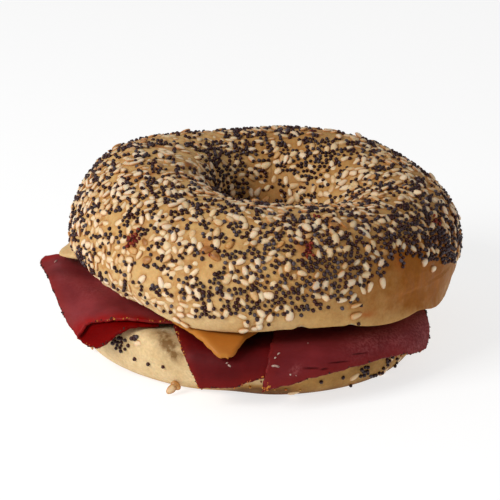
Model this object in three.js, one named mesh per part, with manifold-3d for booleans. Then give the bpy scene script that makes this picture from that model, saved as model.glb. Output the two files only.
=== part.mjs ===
// Bagel sandwich: a seeded bagel cut in two, with slices of cured meat and one slice of cheese
// between the halves. Millimetres, +Z up, front towards -Y, standing on Z = 0. The halves are
// shaped about the bagel's own axis, and AXIS_OFFSET centres the whole on X = Y = 0.
import * as THREE from 'three';
import { mergeVertices } from 'three/addons/utils/BufferGeometryUtils.js';
import Module from 'manifold-3d';

const wasm = await Module();
wasm.setup();

const { degToRad, radToDeg, euclideanModulo, smoothstep, lerp, clamp } = THREE.MathUtils;
const QUARTER = Math.PI / 2;

// Placing of the whole
const AXIS_OFFSET = new THREE.Vector2(3.2, 0.61);

// Both halves are uneven round the axis: their waves are [cosine, sine] amplitudes for one, two,
// three... waves round.

// Top half, measured from its cut face
const TOP = {
  radius: 54.25, crownRadius: 33.9, holeRadius: 14.2, holeFlare: 1.2, cutRadius: 52,
  height: 29.2, widestHeight: 8.5, roundness: 0.95,
  cutHeight: 20.6, tilt: degToRad(4.6), shiftX: 0.8,
  radiusWaves: [[-0.1, 0.1], [0.3, 2.5], [-0.5, 0.7]],
  heightWaves: [[-1.3, 0.9], [0.3, 0.7], [-0.8, 0.2]],
  lipWaves: [[-0.2, -0.8], [-0.2, -0.1], [-1.4, -0.6], [0.1, -0.7], [1.3, -0.3]],
};
const LIP_WIDTH = 9;            // the cut face bends with the lip over this width
// At the left the lip sticks out: how far, at which angle from the front, how wide and from which t
const LIP_FLARE = { reach: 6, turn: -84, spread: 13, start: -0.45 };
// Bottom half, measured from the table
const BOTTOM = {
  radius: 50.1, footRadius: 42.8, holeRadius: 14.2, holeFootRadius: 20, centreX: -1.6,
  widestShare: 0.78, cutHeight: 14.4, cutTilt: degToRad(3), rimRound: 4.6,
  radiusWaves: [[-2.3, 0.8], [-0.9, -0.8]],
  footWaves: [[-3.2, -1.5], [1.1, -3.4]],
};
const LUMP = 0.35;              // height of the lumps in the top crust
// Facets: round each half, and the rows of its section
const AROUND = 64;
const TOP_ROWS = [-1, -0.66, -0.33, 0, 0.14, 0.28, 0.42, 0.56, 0.7, 0.85, 1,
  1.2, 1.4, 1.6, 1.8, 2, 2.5, 3];
const BOTTOM_ROWS = [0, 0.25, 0.5, 0.75, 1, 1.4, 1.7, 1.88, 2, 3, 3.5, 3.75, 4];

// Fillings
const MEAT_THICKNESS = 1.0;
const CHEESE_THICKNESS = 1.8;
const LAYER_GAP = 0.45;
const FIRST_GAP = 0.4;
const LEVEL_1 = FIRST_GAP + MEAT_THICKNESS / 2;
const LEVEL_2 = LEVEL_1 + MEAT_THICKNESS + LAYER_GAP;
const LEVEL_3 = LEVEL_2 + (MEAT_THICKNESS + CHEESE_THICKNESS) / 2 + LAYER_GAP;
// The layers fold down over the rim along this line about the bottom half's centre
const FOLD = { radius: 48, waves: [[-1.6, 0], [-0.9, -0.8]], bendRadius: 5 };
// How steeply the layers hang, in degrees, against the angle from the front, right positive
const HANG = [[-180, 45], [-130, 25], [-95, 14], [-72, 28], [-50, 66], [-32, 80],
  [45, 80], [65, 66], [100, 45], [180, 45]];
// The upper layers rise off the lower ones towards the left, and further past the rim. from and to
// are distances left of the centre, and the rise sets in along Y between the two LIFT_FRONT places.
const LIFTS = [{ height: 2, from: 5, to: 42 }, { height: 4, from: 44, to: 58 }];
const LIFT_FRONT = [-38, -10];

// Seeds fused to the halves. raise is how far a seed's middle lies above the crust, and scales are
// the smallest and the largest seed.
const SESAME = { length: 3.1, width: 1.9, thickness: 1.1, taper: 0.5, raise: 0.11, scales: [0.9, 1.12] };
const TOP_SEEDS = { count: 120, spacing: 7.5, seed: 7, tRange: [-0.3, 2.1] };
const BOTTOM_SEEDS = { count: 9, spacing: 12, seed: 3, tRange: [0.35, 1.3] };
const MOST_DRAWS = 40000;
// The top crust is bare below t = lip, and in a patch at the front right below t = patch. from and
// to are the angles over which the patch comes and goes.
const BARE = { lip: -0.3, patch: 0.06, from: [22, 45], to: [88, 100] };
const COVERED = [-36, 62];      // angles from the front between which slices hide the bottom crust

const crustMaterial = new THREE.MeshStandardMaterial({ color: 0xdcb578, roughness: 0.7, metalness: 0 });
const baseMaterial = new THREE.MeshStandardMaterial({ color: 0xd9bd8c, roughness: 0.7, metalness: 0 });
const meatMaterial = new THREE.MeshStandardMaterial({ color: 0x6e232d, roughness: 0.45, metalness: 0 });
const redMeatMaterial = new THREE.MeshStandardMaterial({ color: 0x7a0a0c, roughness: 0.4, metalness: 0 });
const cheeseMaterial = new THREE.MeshStandardMaterial({ color: 0xc8842f, roughness: 0.5, metalness: 0 });

function randomSource(seed) {
  let state = seed;
  return () => {
    state = (state + 0x6d2b79f5) | 0;
    let t = Math.imul(state ^ (state >>> 15), 1 | state);
    t = (t + Math.imul(t ^ (t >>> 7), 61 | t)) ^ t;
    return ((t ^ (t >>> 14)) >>> 0) / 4294967296;
  };
}

function waves(angle, terms) {
  return terms.reduce((sum, [c, s], i) =>
    sum + c * Math.cos((i + 1) * angle) + s * Math.sin((i + 1) * angle), 0);
}

// The angle from the front, in degrees, right positive
const fromFront = (angle) => euclideanModulo(radToDeg(angle) + 270, 360) - 180;

// Two sets of lumps, five and nine round, slanting across the crust
const lump = (angle, t) => (LUMP / 2)
  * (Math.sin(5 * angle + 2.1 * t + 0.4) + 0.7 * Math.sin(9 * angle - 3 * t + 1.9));

const topRadius = (angle) => TOP.radius + waves(angle, TOP.radiusWaves);
const topHeight = (angle) => TOP.height + waves(angle, TOP.heightWaves);
const topLip = (angle) => waves(angle, TOP.lipWaves);
function lipFlare(angle, t) {
  const { reach, turn, spread, start } = LIP_FLARE;
  return reach * Math.exp(-(((fromFront(angle) - turn) / spread) ** 2)) * smoothstep(-t, -start, 1);
}

// Section of the top half's crust as (radius, height). t runs from the cut's outer edge at -1 over
// the widest line at 0, the crown at 1 and the hole's neck at 2 to the cut's inner edge at 3.
function topSection(angle, t) {
  const { crownRadius, widestHeight, roundness, cutRadius, holeRadius, holeFlare } = TOP;
  const outer = topRadius(angle);
  const rise = topHeight(angle) - widestHeight;
  if (t < 0) {
    return [outer - (outer - cutRadius) * t * t + lipFlare(angle, t),
      widestHeight * (1 + t) - topLip(angle) * t];
  }
  const lumpy = 1 + lump(angle, t) / (outer - crownRadius);
  if (t <= 1) {
    const a = t * QUARTER;
    return [crownRadius + (outer - crownRadius) * Math.cos(a) ** roundness * lumpy,
      widestHeight + rise * Math.sin(a) ** roundness * lumpy];
  }
  if (t <= 2) {
    const a = (2 - t) * QUARTER;
    return [crownRadius - (crownRadius - holeRadius) * Math.cos(a),
      widestHeight + rise * Math.sin(a) * lumpy];
  }
  return [holeRadius + holeFlare * (t - 2) ** 2, widestHeight * (3 - t)];
}

const bottomRadius = (angle) => BOTTOM.radius + waves(angle, BOTTOM.radiusWaves);
const footRadius = (angle) => BOTTOM.footRadius + waves(angle, BOTTOM.footWaves);
const bottomCut = (x) => BOTTOM.cutHeight - x * Math.tan(BOTTOM.cutTilt);

// Section of the bottom half as (radius, share of the cut's height). t runs from the foot at 0 over
// the widest line at 1 to the rim at 2, and down the hole from 3 to 4.
function bottomSection(angle, t) {
  const { holeRadius, holeFootRadius, widestShare, rimRound } = BOTTOM;
  const outer = bottomRadius(angle);
  const foot = footRadius(angle);
  if (t <= 1) {
    const a = t * QUARTER;
    return [foot + (outer - foot) * Math.sin(a), widestShare * (1 - Math.cos(a))];
  }
  if (t <= 2) {
    const a = (t - 1) * QUARTER;
    return [outer - rimRound * (1 - Math.cos(a)), lerp(widestShare, 1, Math.sin(a))];
  }
  const down = t - 3;
  return [holeRadius + (holeFootRadius - holeRadius) * Math.max(0, 2 * down - 1) ** 2, 1 - down];
}

// Closed ring of quads: point(angle, row) gives the place of each corner
function ringGeometry(point, rows) {
  const positions = [];
  const index = [];
  for (let i = 0; i < AROUND; i++) {
    for (let j = 0; j < rows; j++) positions.push(...point((i / AROUND) * 2 * Math.PI, j));
  }
  const at = (i, j) => (i % AROUND) * rows + (j % rows);
  for (let i = 0; i < AROUND; i++) {
    for (let j = 0; j < rows; j++) {
      index.push(at(i, j), at(i + 1, j), at(i + 1, j + 1));
      index.push(at(i, j), at(i + 1, j + 1), at(i, j + 1));
    }
  }
  const geometry = new THREE.BufferGeometry();
  geometry.setAttribute('position', new THREE.Float32BufferAttribute(positions, 3));
  geometry.setIndex(index);
  return geometry;
}

const polar = (angle, [radius, height]) =>
  [radius * Math.cos(angle), radius * Math.sin(angle), height];

const topPoint = (angle, t) => polar(angle, topSection(angle, t));
function bottomPoint(angle, t) {
  const [radius, share] = bottomSection(angle, t);
  const x = BOTTOM.centreX + radius * Math.cos(angle);
  return [x, radius * Math.sin(angle), share * bottomCut(x)];
}

function topHalf() {
  return ringGeometry((angle, row) => {
    if (row < TOP_ROWS.length) return topPoint(angle, TOP_ROWS[row]);
    return polar(angle, [TOP.cutRadius - LIP_WIDTH, 0]);
  }, TOP_ROWS.length + 1);
}

function bottomHalf() {
  return ringGeometry((angle, row) => bottomPoint(angle, BOTTOM_ROWS[row]), BOTTOM_ROWS.length);
}

// A flat sesame seed with its length along X, its middle at the origin
function sesameGeometry(scale) {
  const seed = new THREE.SphereGeometry(0.5, 7, 3);
  seed.rotateZ(QUARTER);
  const positions = seed.attributes.position;
  for (let i = 0; i < positions.count; i++) {
    const taper = 1 - SESAME.taper * positions.getX(i);
    positions.setXYZ(i, positions.getX(i) * SESAME.length * scale,
      positions.getY(i) * SESAME.width * taper * scale, positions.getZ(i) * SESAME.thickness * scale);
  }
  return seed;
}

function toManifold(geometry) {
  const bare = geometry.clone();
  bare.deleteAttribute('normal');
  bare.deleteAttribute('uv');
  const merged = mergeVertices(bare, 1e-4);
  return new wasm.Manifold(new wasm.Mesh({
    numProp: 3,
    vertProperties: new Float32Array(merged.attributes.position.array),
    triVerts: new Uint32Array(merged.index.array),
  }));
}

function fromManifold(solid) {
  const mesh = solid.getMesh();
  const geometry = new THREE.BufferGeometry();
  geometry.setAttribute('position', new THREE.BufferAttribute(mesh.vertProperties, 3));
  geometry.setIndex(new THREE.BufferAttribute(mesh.triVerts, 1));
  return geometry;
}

const SLOPE_STEP = 1e-3;        // over which a surface's slope is taken

// Fuses count seeds to a half, evenly spread by a seeded draw of (angle, t) where allowed says so.
// A draw is kept less often near the axis, so that the narrow rings don't get more than their share.
function seeded(base, surface, allowed, { count, spacing, seed, tRange }) {
  const random = randomSource(seed);
  const placed = [];
  let solid = toManifold(base);
  for (let tries = 0; placed.length < count && tries < MOST_DRAWS; tries++) {
    const angle = random() * 2 * Math.PI;
    const t = lerp(tRange[0], tRange[1], random());
    const spin = random() * Math.PI;
    const scale = lerp(...SESAME.scales, random());
    const here = new THREE.Vector3(...surface(angle, t));
    const share = Math.hypot(here.x, here.y) / TOP.radius;
    if (random() > share || !allowed(angle, t)) continue;
    if (placed.some((other) => other.distanceTo(here) < spacing)) continue;
    placed.push(here);
    const along = new THREE.Vector3(...surface(angle + SLOPE_STEP, t)).sub(here);
    const up = new THREE.Vector3(...surface(angle, t + SLOPE_STEP)).sub(here);
    const normal = along.clone().cross(up).normalize();
    const side = along.normalize();
    const across = normal.clone().cross(side);
    const matrix = new THREE.Matrix4().makeBasis(side, across, normal);
    matrix.multiply(new THREE.Matrix4().makeRotationZ(spin));
    matrix.setPosition(here.addScaledVector(normal, SESAME.raise));
    solid = solid.add(toManifold(sesameGeometry(scale).applyMatrix4(matrix)));
  }
  return fromManifold(solid);
}

function topSeedAllowed(angle, t) {
  const turn = fromFront(angle);
  const patch = smoothstep(turn, ...BARE.from) * (1 - smoothstep(turn, ...BARE.to));
  return t > lerp(BARE.lip, BARE.patch, patch);
}

function bottomSeedAllowed(angle) {
  const turn = fromFront(angle);
  return turn < COVERED[0] || turn > COVERED[1];
}

function hangAngle(angle) {
  const turn = fromFront(angle);
  const k = HANG.findIndex(([at]) => at >= turn);
  const [a, b] = [HANG[Math.max(k - 1, 0)], HANG[k]];
  const share = b[0] > a[0] ? (turn - a[0]) / (b[0] - a[0]) : 0;
  return degToRad(lerp(a[1], b[1], share));
}

const leftLift = (x, y) => smoothstep(y, ...LIFT_FRONT)
  * LIFTS.reduce((sum, { height, from, to }) => sum + height * smoothstep(-x, from, to), 0);

// Carries a point of a flat sheet, (x, y) about the bottom half's centre, onto the bottom half: flat
// on the cut face, bent over the rim, then hanging. Gives the place and the sheet's normal.
function drape(x, y, layer) {
  const level = layer + (layer > LEVEL_1 ? leftLift(x, y) : 0);
  const angle = Math.atan2(y, x);
  const reach = Math.hypot(x, y);
  const bendStart = FOLD.radius + waves(angle, FOLD.waves);
  const bend = FOLD.bendRadius + level;
  const hang = hangAngle(angle);
  const past = reach - bendStart;
  const turned = clamp(past / bend, 0, hang);
  const straight = Math.max(0, past - hang * bend);
  const radius = past <= 0 ? reach : bendStart + bend * Math.sin(turned) + straight * Math.cos(hang);
  const drop = bend * (1 - Math.cos(turned)) + straight * Math.sin(hang);
  const cutX = BOTTOM.centreX + Math.min(reach, bendStart) * Math.cos(angle);
  const place = new THREE.Vector3(BOTTOM.centreX + radius * Math.cos(angle), radius * Math.sin(angle),
    bottomCut(cutX) + level - drop);
  const normal = new THREE.Vector3(Math.sin(turned) * Math.cos(angle),
    Math.sin(turned) * Math.sin(angle), Math.cos(turned));
  return { place, normal };
}

// Row or column positions from 0 to 1, in bands of [where the band ends, its steps]
function banded(...bands) {
  const marks = [0];
  for (const [end, steps] of bands) {
    const start = marks.at(-1);
    for (let i = 1; i <= steps; i++) marks.push(lerp(start, end, i / steps));
  }
  return marks;
}

// A draped slice. front and back run left to right, left and right run front to back; each is a few
// flat points, and neighbours share their corner. rows go front to back, columns left to right.
// blunt moves the front left corner that share of the way to the grid point next to it.
function slice({ front, back, left, right, level, thickness, rows, columns, blunt = 0 }) {
  const curve = (points) => new THREE.SplineCurve(points.map(([x, y]) => new THREE.Vector2(x, y)));
  const [f, b, l, r] = [front, back, left, right].map(curve);
  const corner = (u, v) => new THREE.Vector2(
    lerp(lerp(front[0][0], front.at(-1)[0], u), lerp(back[0][0], back.at(-1)[0], u), v),
    lerp(lerp(front[0][1], front.at(-1)[1], u), lerp(back[0][1], back.at(-1)[1], u), v));
  const flat = (u, v) => {
    const across = f.getPointAt(u).lerp(b.getPointAt(u), v);
    const along = l.getPointAt(v).lerp(r.getPointAt(v), u);
    return across.add(along).sub(corner(u, v));
  };
  const [m, n] = [columns.length, rows.length];
  const positions = [];
  for (const side of [1, -1]) {
    for (let j = 0; j < n; j++) {
      for (let i = 0; i < m; i++) {
        const point = flat(columns[i], rows[j]);
        if (i === 0 && j === 0) point.lerp(flat(columns[1], rows[1]), blunt);
        const { place, normal } = drape(point.x, point.y, level);
        positions.push(...place.addScaledVector(normal, (side * thickness) / 2));
      }
    }
  }
  const index = [];
  const at = (side, i, j) => side * m * n + j * m + i;
  for (let j = 0; j < n - 1; j++) {
    for (let i = 0; i < m - 1; i++) {
      index.push(at(0, i, j), at(0, i + 1, j), at(0, i + 1, j + 1));
      index.push(at(0, i, j), at(0, i + 1, j + 1), at(0, i, j + 1));
      index.push(at(1, i, j), at(1, i + 1, j + 1), at(1, i + 1, j));
      index.push(at(1, i, j), at(1, i, j + 1), at(1, i + 1, j + 1));
    }
  }
  const rim = [];
  for (let i = 0; i < m - 1; i++) rim.push([i, 0]);
  for (let j = 0; j < n - 1; j++) rim.push([m - 1, j]);
  for (let i = m - 1; i > 0; i--) rim.push([i, n - 1]);
  for (let j = n - 1; j > 0; j--) rim.push([0, j]);
  rim.forEach(([i, j], k) => {
    const [i2, j2] = rim[(k + 1) % rim.length];
    index.push(at(0, i, j), at(1, i, j), at(1, i2, j2));
    index.push(at(0, i, j), at(1, i2, j2), at(0, i2, j2));
  });
  const geometry = new THREE.BufferGeometry();
  geometry.setAttribute('position', new THREE.Float32BufferAttribute(positions, 3));
  geometry.setIndex(index);
  return geometry;
}

function node(name, geometry, material) {
  const mesh = new THREE.Mesh(geometry, material);
  mesh.name = name;
  return mesh;
}

// The upper slice that sticks out at the left, its lower corner drooping
function sliceLeftUpper() {
  return slice({
    left: [[-51.1, -33.5], [-53.6, -28.3], [-57.7, -15.6], [-61, 0.5]],
    front: [[-51.1, -33.5], [-46.6, -32.2], [-40.1, -34.8], [-27.4, -37.6], [-12, -36], [0, -32]],
    right: [[0, -32], [1.5, 0], [1, 30]],
    back: [[-61, 0.5], [-49, -3.2], [-34, 10], [-15, 24], [1, 30]],
    level: LEVEL_2, thickness: MEAT_THICKNESS,
    rows: banded([0.4, 5], [1, 6]), columns: banded([0.35, 7], [1, 5]),
  });
}

// The red slice below it, showing in front of its lower edge
function sliceLeftUnder() {
  return slice({
    left: [[-51.3, -31.2], [-54, -18], [-56, 0], [-52, 22]],
    front: [[-51.3, -31.2], [-47.8, -36.5], [-43.9, -38.7], [-36.6, -38.5], [-26.2, -36.6]],
    right: [[-26.2, -36.6], [-30.5, -10], [-33.5, 12], [-34, 30]],
    back: [[-52, 22], [-44, 30], [-34, 30]],
    level: LEVEL_1, thickness: MEAT_THICKNESS,
    rows: banded([0.5, 9], [1, 4]), columns: banded([1, 8]),
  });
}

// The slice that hangs over the front, running right through to the back
function sliceMiddle() {
  return slice({
    left: [[-15.3, -60.4], [-18.2, -53.5], [-22.5, -35.5], [-26, -5], [-28, 22], [-27, 50]],
    front: [[-15.3, -60.4], [-7.2, -60.8], [0.2, -58.6], [12, -56]],
    right: [[12, -56], [13, -25], [16, 10], [24, 52]],
    back: [[-27, 50], [-3, 57.5], [24, 52]],
    level: LEVEL_1, thickness: MEAT_THICKNESS,
    rows: banded([0.14, 6], [0.86, 5], [1, 4]), columns: banded([1, 7]),
  });
}

// The broad slice that hangs over the front right, its left edge lying on the middle one
function sliceRight() {
  return slice({
    left: [[1.4, -63.5], [2.6, -56.3], [4.5, -40.6], [7, -10], [8, 34]],
    front: [[1.4, -63.5], [12, -59.6], [26, -52], [36.8, -43.9], [49.7, -32]],
    right: [[49.7, -32], [49.2, -26.7], [46, -16], [40, 0], [34, 36]],
    back: [[8, 34], [20, 37], [34, 36]],
    level: LEVEL_2, thickness: MEAT_THICKNESS,
    rows: banded([0.2, 6], [1, 6]), columns: banded([0.72, 8], [1, 6]),
  });
}

// The cheese lies with one corner to the front, its blunt tip bent down over the middle slice
function cheese() {
  return slice({
    front: [[-7.8, -60], [-0.6, -46.4], [10, -30], [28, -6]],
    left: [[-7.8, -60], [-19.2, -45.3], [-31, -29], [-44, -14]],
    right: [[28, -6], [11, 14], [-8, 34]],
    back: [[-44, -14], [-27, 10], [-8, 34]],
    level: LEVEL_3, thickness: CHEESE_THICKNESS,
    rows: banded([0.25, 5], [1, 5]), columns: banded([0.25, 5], [1, 5]), blunt: 0.55,
  });
}

const sandwich = new THREE.Group();
sandwich.position.set(AXIS_OFFSET.x, AXIS_OFFSET.y, 0);

const lid = new THREE.Group();
lid.position.set(TOP.shiftX, 0, TOP.cutHeight);
lid.rotation.y = TOP.tilt;
const topBun = seeded(topHalf(), topPoint, topSeedAllowed, TOP_SEEDS);
lid.add(node('top_bun', topBun, crustMaterial));

const bottomBun = seeded(bottomHalf(), bottomPoint, bottomSeedAllowed, BOTTOM_SEEDS);
sandwich.add(
  lid,
  node('bottom_bun', bottomBun, baseMaterial),
  node('slice_left_upper', sliceLeftUpper(), meatMaterial),
  node('slice_left_under', sliceLeftUnder(), redMeatMaterial),
  node('slice_middle', sliceMiddle(), meatMaterial),
  node('slice_right', sliceRight(), meatMaterial),
  node('cheese', cheese(), cheeseMaterial),
);

export default sandwich;
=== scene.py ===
"""A seeded bagel sandwich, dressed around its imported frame.

Shapes are worked out in millimetres about the bagel's own axis, and go to metres in the frame's
place as each mesh is made. A turn is an angle round that axis from the front, in degrees, with the
right positive, and an angle is the same in radians from +X.
"""

import itertools
import math

import bpy
import numpy as np
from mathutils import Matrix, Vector
from mathutils.kdtree import KDTree


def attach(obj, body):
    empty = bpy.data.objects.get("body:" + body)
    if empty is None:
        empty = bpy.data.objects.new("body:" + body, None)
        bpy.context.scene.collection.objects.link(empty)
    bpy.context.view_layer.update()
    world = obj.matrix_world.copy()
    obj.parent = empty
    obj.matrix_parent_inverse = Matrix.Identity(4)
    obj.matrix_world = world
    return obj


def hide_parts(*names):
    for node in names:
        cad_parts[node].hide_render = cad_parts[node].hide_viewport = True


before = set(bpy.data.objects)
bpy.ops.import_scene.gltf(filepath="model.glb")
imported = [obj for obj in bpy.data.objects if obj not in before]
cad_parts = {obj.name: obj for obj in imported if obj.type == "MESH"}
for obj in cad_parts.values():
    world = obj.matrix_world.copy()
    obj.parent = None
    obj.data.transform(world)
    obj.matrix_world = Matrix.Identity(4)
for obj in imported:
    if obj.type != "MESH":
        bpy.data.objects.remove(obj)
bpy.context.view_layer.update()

MM = 0.001
AXIS_OFFSET = (3.2, 0.61)  # the bagel's axis in the frame
TAU = 2 * math.pi
QUARTER = math.pi / 2
NUDGE = 1e-3  # for the slopes of a surface

# Both halves are uneven round the axis: their waves are (cosine, sine) amplitudes for one, two,
# three... waves round.

# Top half, measured from its cut face
TOP_RADIUS, CROWN_RADIUS, TOP_HOLE, HOLE_FLARE, TOP_CUT_RADIUS = 54.25, 33.9, 14.2, 1.2, 52
TOP_HEIGHT, TOP_WIDEST, ROUNDNESS = 28.9, 8.5, 0.95
TOP_CUT_HEIGHT, TOP_TILT, TOP_SHIFT = 20.6, math.radians(4.6), 0.8
TOP_RADIUS_WAVES = ((-0.1, 0.1), (0.3, 2.5), (-0.5, 0.7))
TOP_HEIGHT_WAVES = ((-1.3, 0.9), (0.3, 0.7), (-0.8, 0.2))
LIP_WAVES = ((-0.2, -0.8), (-0.2, -0.1), (-1.4, -0.6), (0.1, -0.7), (1.3, -0.3))
LIP_WIDTH = 9
FLARE_REACH, FLARE_TURN, FLARE_START = 6, -84, 0.6  # of the lip at the left
FLARE_SPREAD = (13, 6)  # towards the back and the front
# Rises of the lip's edge: turn, spread and height
LIP_RISES = ((-74, 6, 1.3), (-36, 9, 0.9), (33, 7, -0.4), (52, 7, 1.5), (66, 6, -0.7))
NOTCHES, NOTCH_WIDTH = ((9.8, 0.9), (25.2, 0.8)), 1.3  # turn and depth of nicks in the lip's edge
LUMP = 0.35
# The inner side is squarer at the left: by how much, at which turn and how widely
INNER_SQUARE, INNER_TURN, INNER_SPREAD = 0.3, -105, 45
DIP = (-133, 1.1, 28, 0.5, 1.3)  # in the crown at the far left, as spots() reads it

# Bottom half, measured from the table
BOTTOM_RADIUS, FOOT_RADIUS, BOTTOM_HOLE, HOLE_FOOT_RADIUS, CENTRE_X = 50.1, 42.8, 14.2, 20, -1.6
WIDEST_SHARE, CUT_HEIGHT, CUT_TILT, RIM_ROUND = 0.78, 14.4, math.radians(3), 4.6
BOTTOM_RADIUS_WAVES = ((-2.3, 0.8), (-0.9, -0.8))
FOOT_WAVES = ((-3.2, -1.5), (1.1, -3.4))
DENT_DEPTH, DENT_TURN, DENT_SPREAD = 2.4, -9, 10  # of the foot's edge at the front

# Fillings
MEAT, CHEESE = 1.0, 1.8  # thickness
SHEET_ROUND = 0.6  # how far in a slice's edge is rounded, as a share of its thickness
LAYER_GAP, FIRST_GAP = 0.45, 0.4
LEVEL_1 = FIRST_GAP + MEAT / 2
LEVEL_2 = LEVEL_1 + MEAT + LAYER_GAP
LEVEL_3 = LEVEL_2 + (MEAT + CHEESE) / 2 + LAYER_GAP
FOLD_RADIUS, FOLD_WAVES, BEND_RADIUS = 48, ((-1.6, 0), (-0.9, -0.8)), 5
# Degrees of hang by the turn
HANG = ((-180, 45), (-130, 25), (-95, 14), (-72, 28), (-50, 66), (-32, 80),
        (45, 80), (65, 66), (100, 45), (180, 45))
LIFTS = ((2, 5, 42), (4, 44, 58))  # rise of the upper layers between two distances to the left
LIFT_FRONT = (-38, -10)  # y over which that rise sets in


# Numbers and noise

def smooth(x, low, high):
    t = np.clip((x - low) / (high - low), 0, 1)
    return t * t * (3 - 2 * t)


def hump(x, up_from, up_to, down_from, down_to):
    return smooth(x, up_from, up_to) * (1 - smooth(x, down_from, down_to))


def bell(x, middle, spread):
    return np.exp(-((x - middle) / spread) ** 2)


def mix(a, b, t):
    return a + (b - a) * t


def unit(vectors):
    return vectors / np.maximum(np.linalg.norm(vectors, axis=-1, keepdims=True), 1e-12)


def table_columns(table):
    return [np.array(column, float) for column in zip(*table)]


_lattice = np.random.default_rng(11).permutation(256)
_slopes = unit(np.random.default_rng(12).normal(size=(256, 3)))


def noise(points, size, seed=0):
    """Smooth gradient noise in about -1 to 1, with features of the given size."""
    p = np.asarray(points, float) / size + seed * 17.31
    cell = np.floor(p).astype(int)
    f = p - cell
    ease = f * f * f * (f * (6 * f - 15) + 10)
    total = np.zeros(p.shape[:-1])
    for step in itertools.product((0, 1), repeat=3):
        key = 0
        for axis in range(3):
            key = _lattice[(key + cell[..., axis] + step[axis]) & 255]
        share = np.where(step, ease, 1 - ease).prod(-1)
        total += share * np.sum(_slopes[key] * (f - step), axis=-1)
    return total * 1.6


def waves(angle, terms):
    return sum(c * np.cos((i + 1) * angle) + s * np.sin((i + 1) * angle)
               for i, (c, s) in enumerate(terms))


def from_front(angle):
    """The turn of an angle, from -180 to 180."""
    return np.mod(np.degrees(angle) + 270, 360) - 180


def at_turn(turn):
    return np.radians(np.asarray(turn, float) - 90)


def spots(angle, t, table):
    """Soft patches on a half, each of a turn, a t, their spreads and a strength."""
    return sum(strength * bell(from_front(angle), turn, width) * bell(t, mark, height)
               for turn, mark, width, height, strength in table)


# The halves of the bagel

def top_lip(angle):
    turn = from_front(angle)
    return waves(angle, LIP_WAVES) + sum(rise * bell(turn, at, spread) for at, spread, rise in LIP_RISES)


def lip_notch(angle, t):
    """Small nicks in the edge of the lip, as a rise of it."""
    nicks = sum(depth * bell(from_front(angle), at, NOTCH_WIDTH) for at, depth in NOTCHES)
    return nicks * (1 - smooth(t, -1, -0.75))


def lip_flare(angle, t):
    turn = from_front(angle)
    spread = np.where(turn < FLARE_TURN, *FLARE_SPREAD)
    return FLARE_REACH * bell(turn, FLARE_TURN, spread) * smooth(-t, FLARE_START, 1)


def top_section(angle, t):
    """Radius and height of the top half's crust: t runs from the cut's outer edge at -1 over the
    widest line at 0, the crown at 1 and the neck of the hole at 2 to the cut's inner edge at 3."""
    outer = TOP_RADIUS + waves(angle, TOP_RADIUS_WAVES)
    rise = TOP_HEIGHT + waves(angle, TOP_HEIGHT_WAVES) - TOP_WIDEST
    lump = LUMP * (np.sin(5 * angle + 2.1 * t + 0.4) + 0.7 * np.sin(9 * angle - 3 * t + 1.9)) / 2
    lumpy = 1 + lump / (outer - CROWN_RADIUS)
    a = np.clip(t, 0, 1) * QUARTER
    b = (2 - np.clip(t, 1, 2)) * QUARTER
    lip = np.clip(t, -1, 0)
    down = np.clip(t - 2, 0, 1)
    lip_r = outer - (outer - TOP_CUT_RADIUS) * lip ** 2 + lip_flare(angle, t)
    lip_z = TOP_WIDEST * (1 + lip) - top_lip(angle) * lip + lip_notch(angle, t)
    outer_r = CROWN_RADIUS + (outer - CROWN_RADIUS) * np.cos(a) ** ROUNDNESS * lumpy
    outer_z = TOP_WIDEST + rise * np.sin(a) ** ROUNDNESS * lumpy
    square = 1 - INNER_SQUARE * bell(from_front(angle), INNER_TURN, INNER_SPREAD)
    inner_r = CROWN_RADIUS - (CROWN_RADIUS - TOP_HOLE) * np.cos(b) ** square
    inner_z = TOP_WIDEST + rise * np.sin(b) ** square * lumpy
    bands = [t < 0, t <= 1, t <= 2]
    r = np.select(bands, [lip_r, outer_r, inner_r], TOP_HOLE + HOLE_FLARE * down ** 2)
    z = np.select(bands, [lip_z, outer_z, inner_z], TOP_WIDEST * (1 - down))
    return r, z - spots(angle, t, [DIP])


def top_surface(angle, t):
    r, z = top_section(angle, t)
    return np.stack([r * np.cos(angle), r * np.sin(angle), z], -1)


TILT = np.array(((math.cos(TOP_TILT), 0, math.sin(TOP_TILT)), (0, 1, 0),
                 (-math.sin(TOP_TILT), 0, math.cos(TOP_TILT))))


def tilt_top(points):
    """From the top half's own place to the bagel's."""
    return points @ TILT.T + (TOP_SHIFT, 0, TOP_CUT_HEIGHT)


def bottom_cut(x):
    return CUT_HEIGHT - x * math.tan(CUT_TILT)


def bottom_surface(angle, t):
    """t runs from the foot at 0 over the widest line at 1 to the rim at 2, and down the hole from
    3 to 4."""
    outer = BOTTOM_RADIUS + waves(angle, BOTTOM_RADIUS_WAVES)
    foot = FOOT_RADIUS + waves(angle, FOOT_WAVES)
    foot = foot - DENT_DEPTH * bell(from_front(angle), DENT_TURN, DENT_SPREAD)
    low = np.clip(t, 0, 1) * QUARTER
    high = (np.clip(t, 1, 2) - 1) * QUARTER
    down = np.clip(t - 3, 0, 1)
    bands = [t <= 1, t <= 2]
    low_r = foot + (outer - foot) * np.sin(low)
    high_r = outer - RIM_ROUND * (1 - np.cos(high))
    hole_r = BOTTOM_HOLE + (HOLE_FOOT_RADIUS - BOTTOM_HOLE) * np.maximum(0, 2 * down - 1) ** 2
    r = np.select(bands, [low_r, high_r], hole_r)
    share = np.select(bands, [WIDEST_SHARE * (1 - np.cos(low)), mix(WIDEST_SHARE, 1, np.sin(high))],
                      1 - down)
    x = CENTRE_X + r * np.cos(angle)
    return np.stack([x, r * np.sin(angle), share * bottom_cut(x)], -1)


def normals(surface, angle, t):
    along = surface(angle + NUDGE, t) - surface(angle - NUDGE, t)
    up = surface(angle, t + NUDGE) - surface(angle, t - NUDGE)
    return unit(np.cross(along, up))


# The draped fillings

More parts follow.
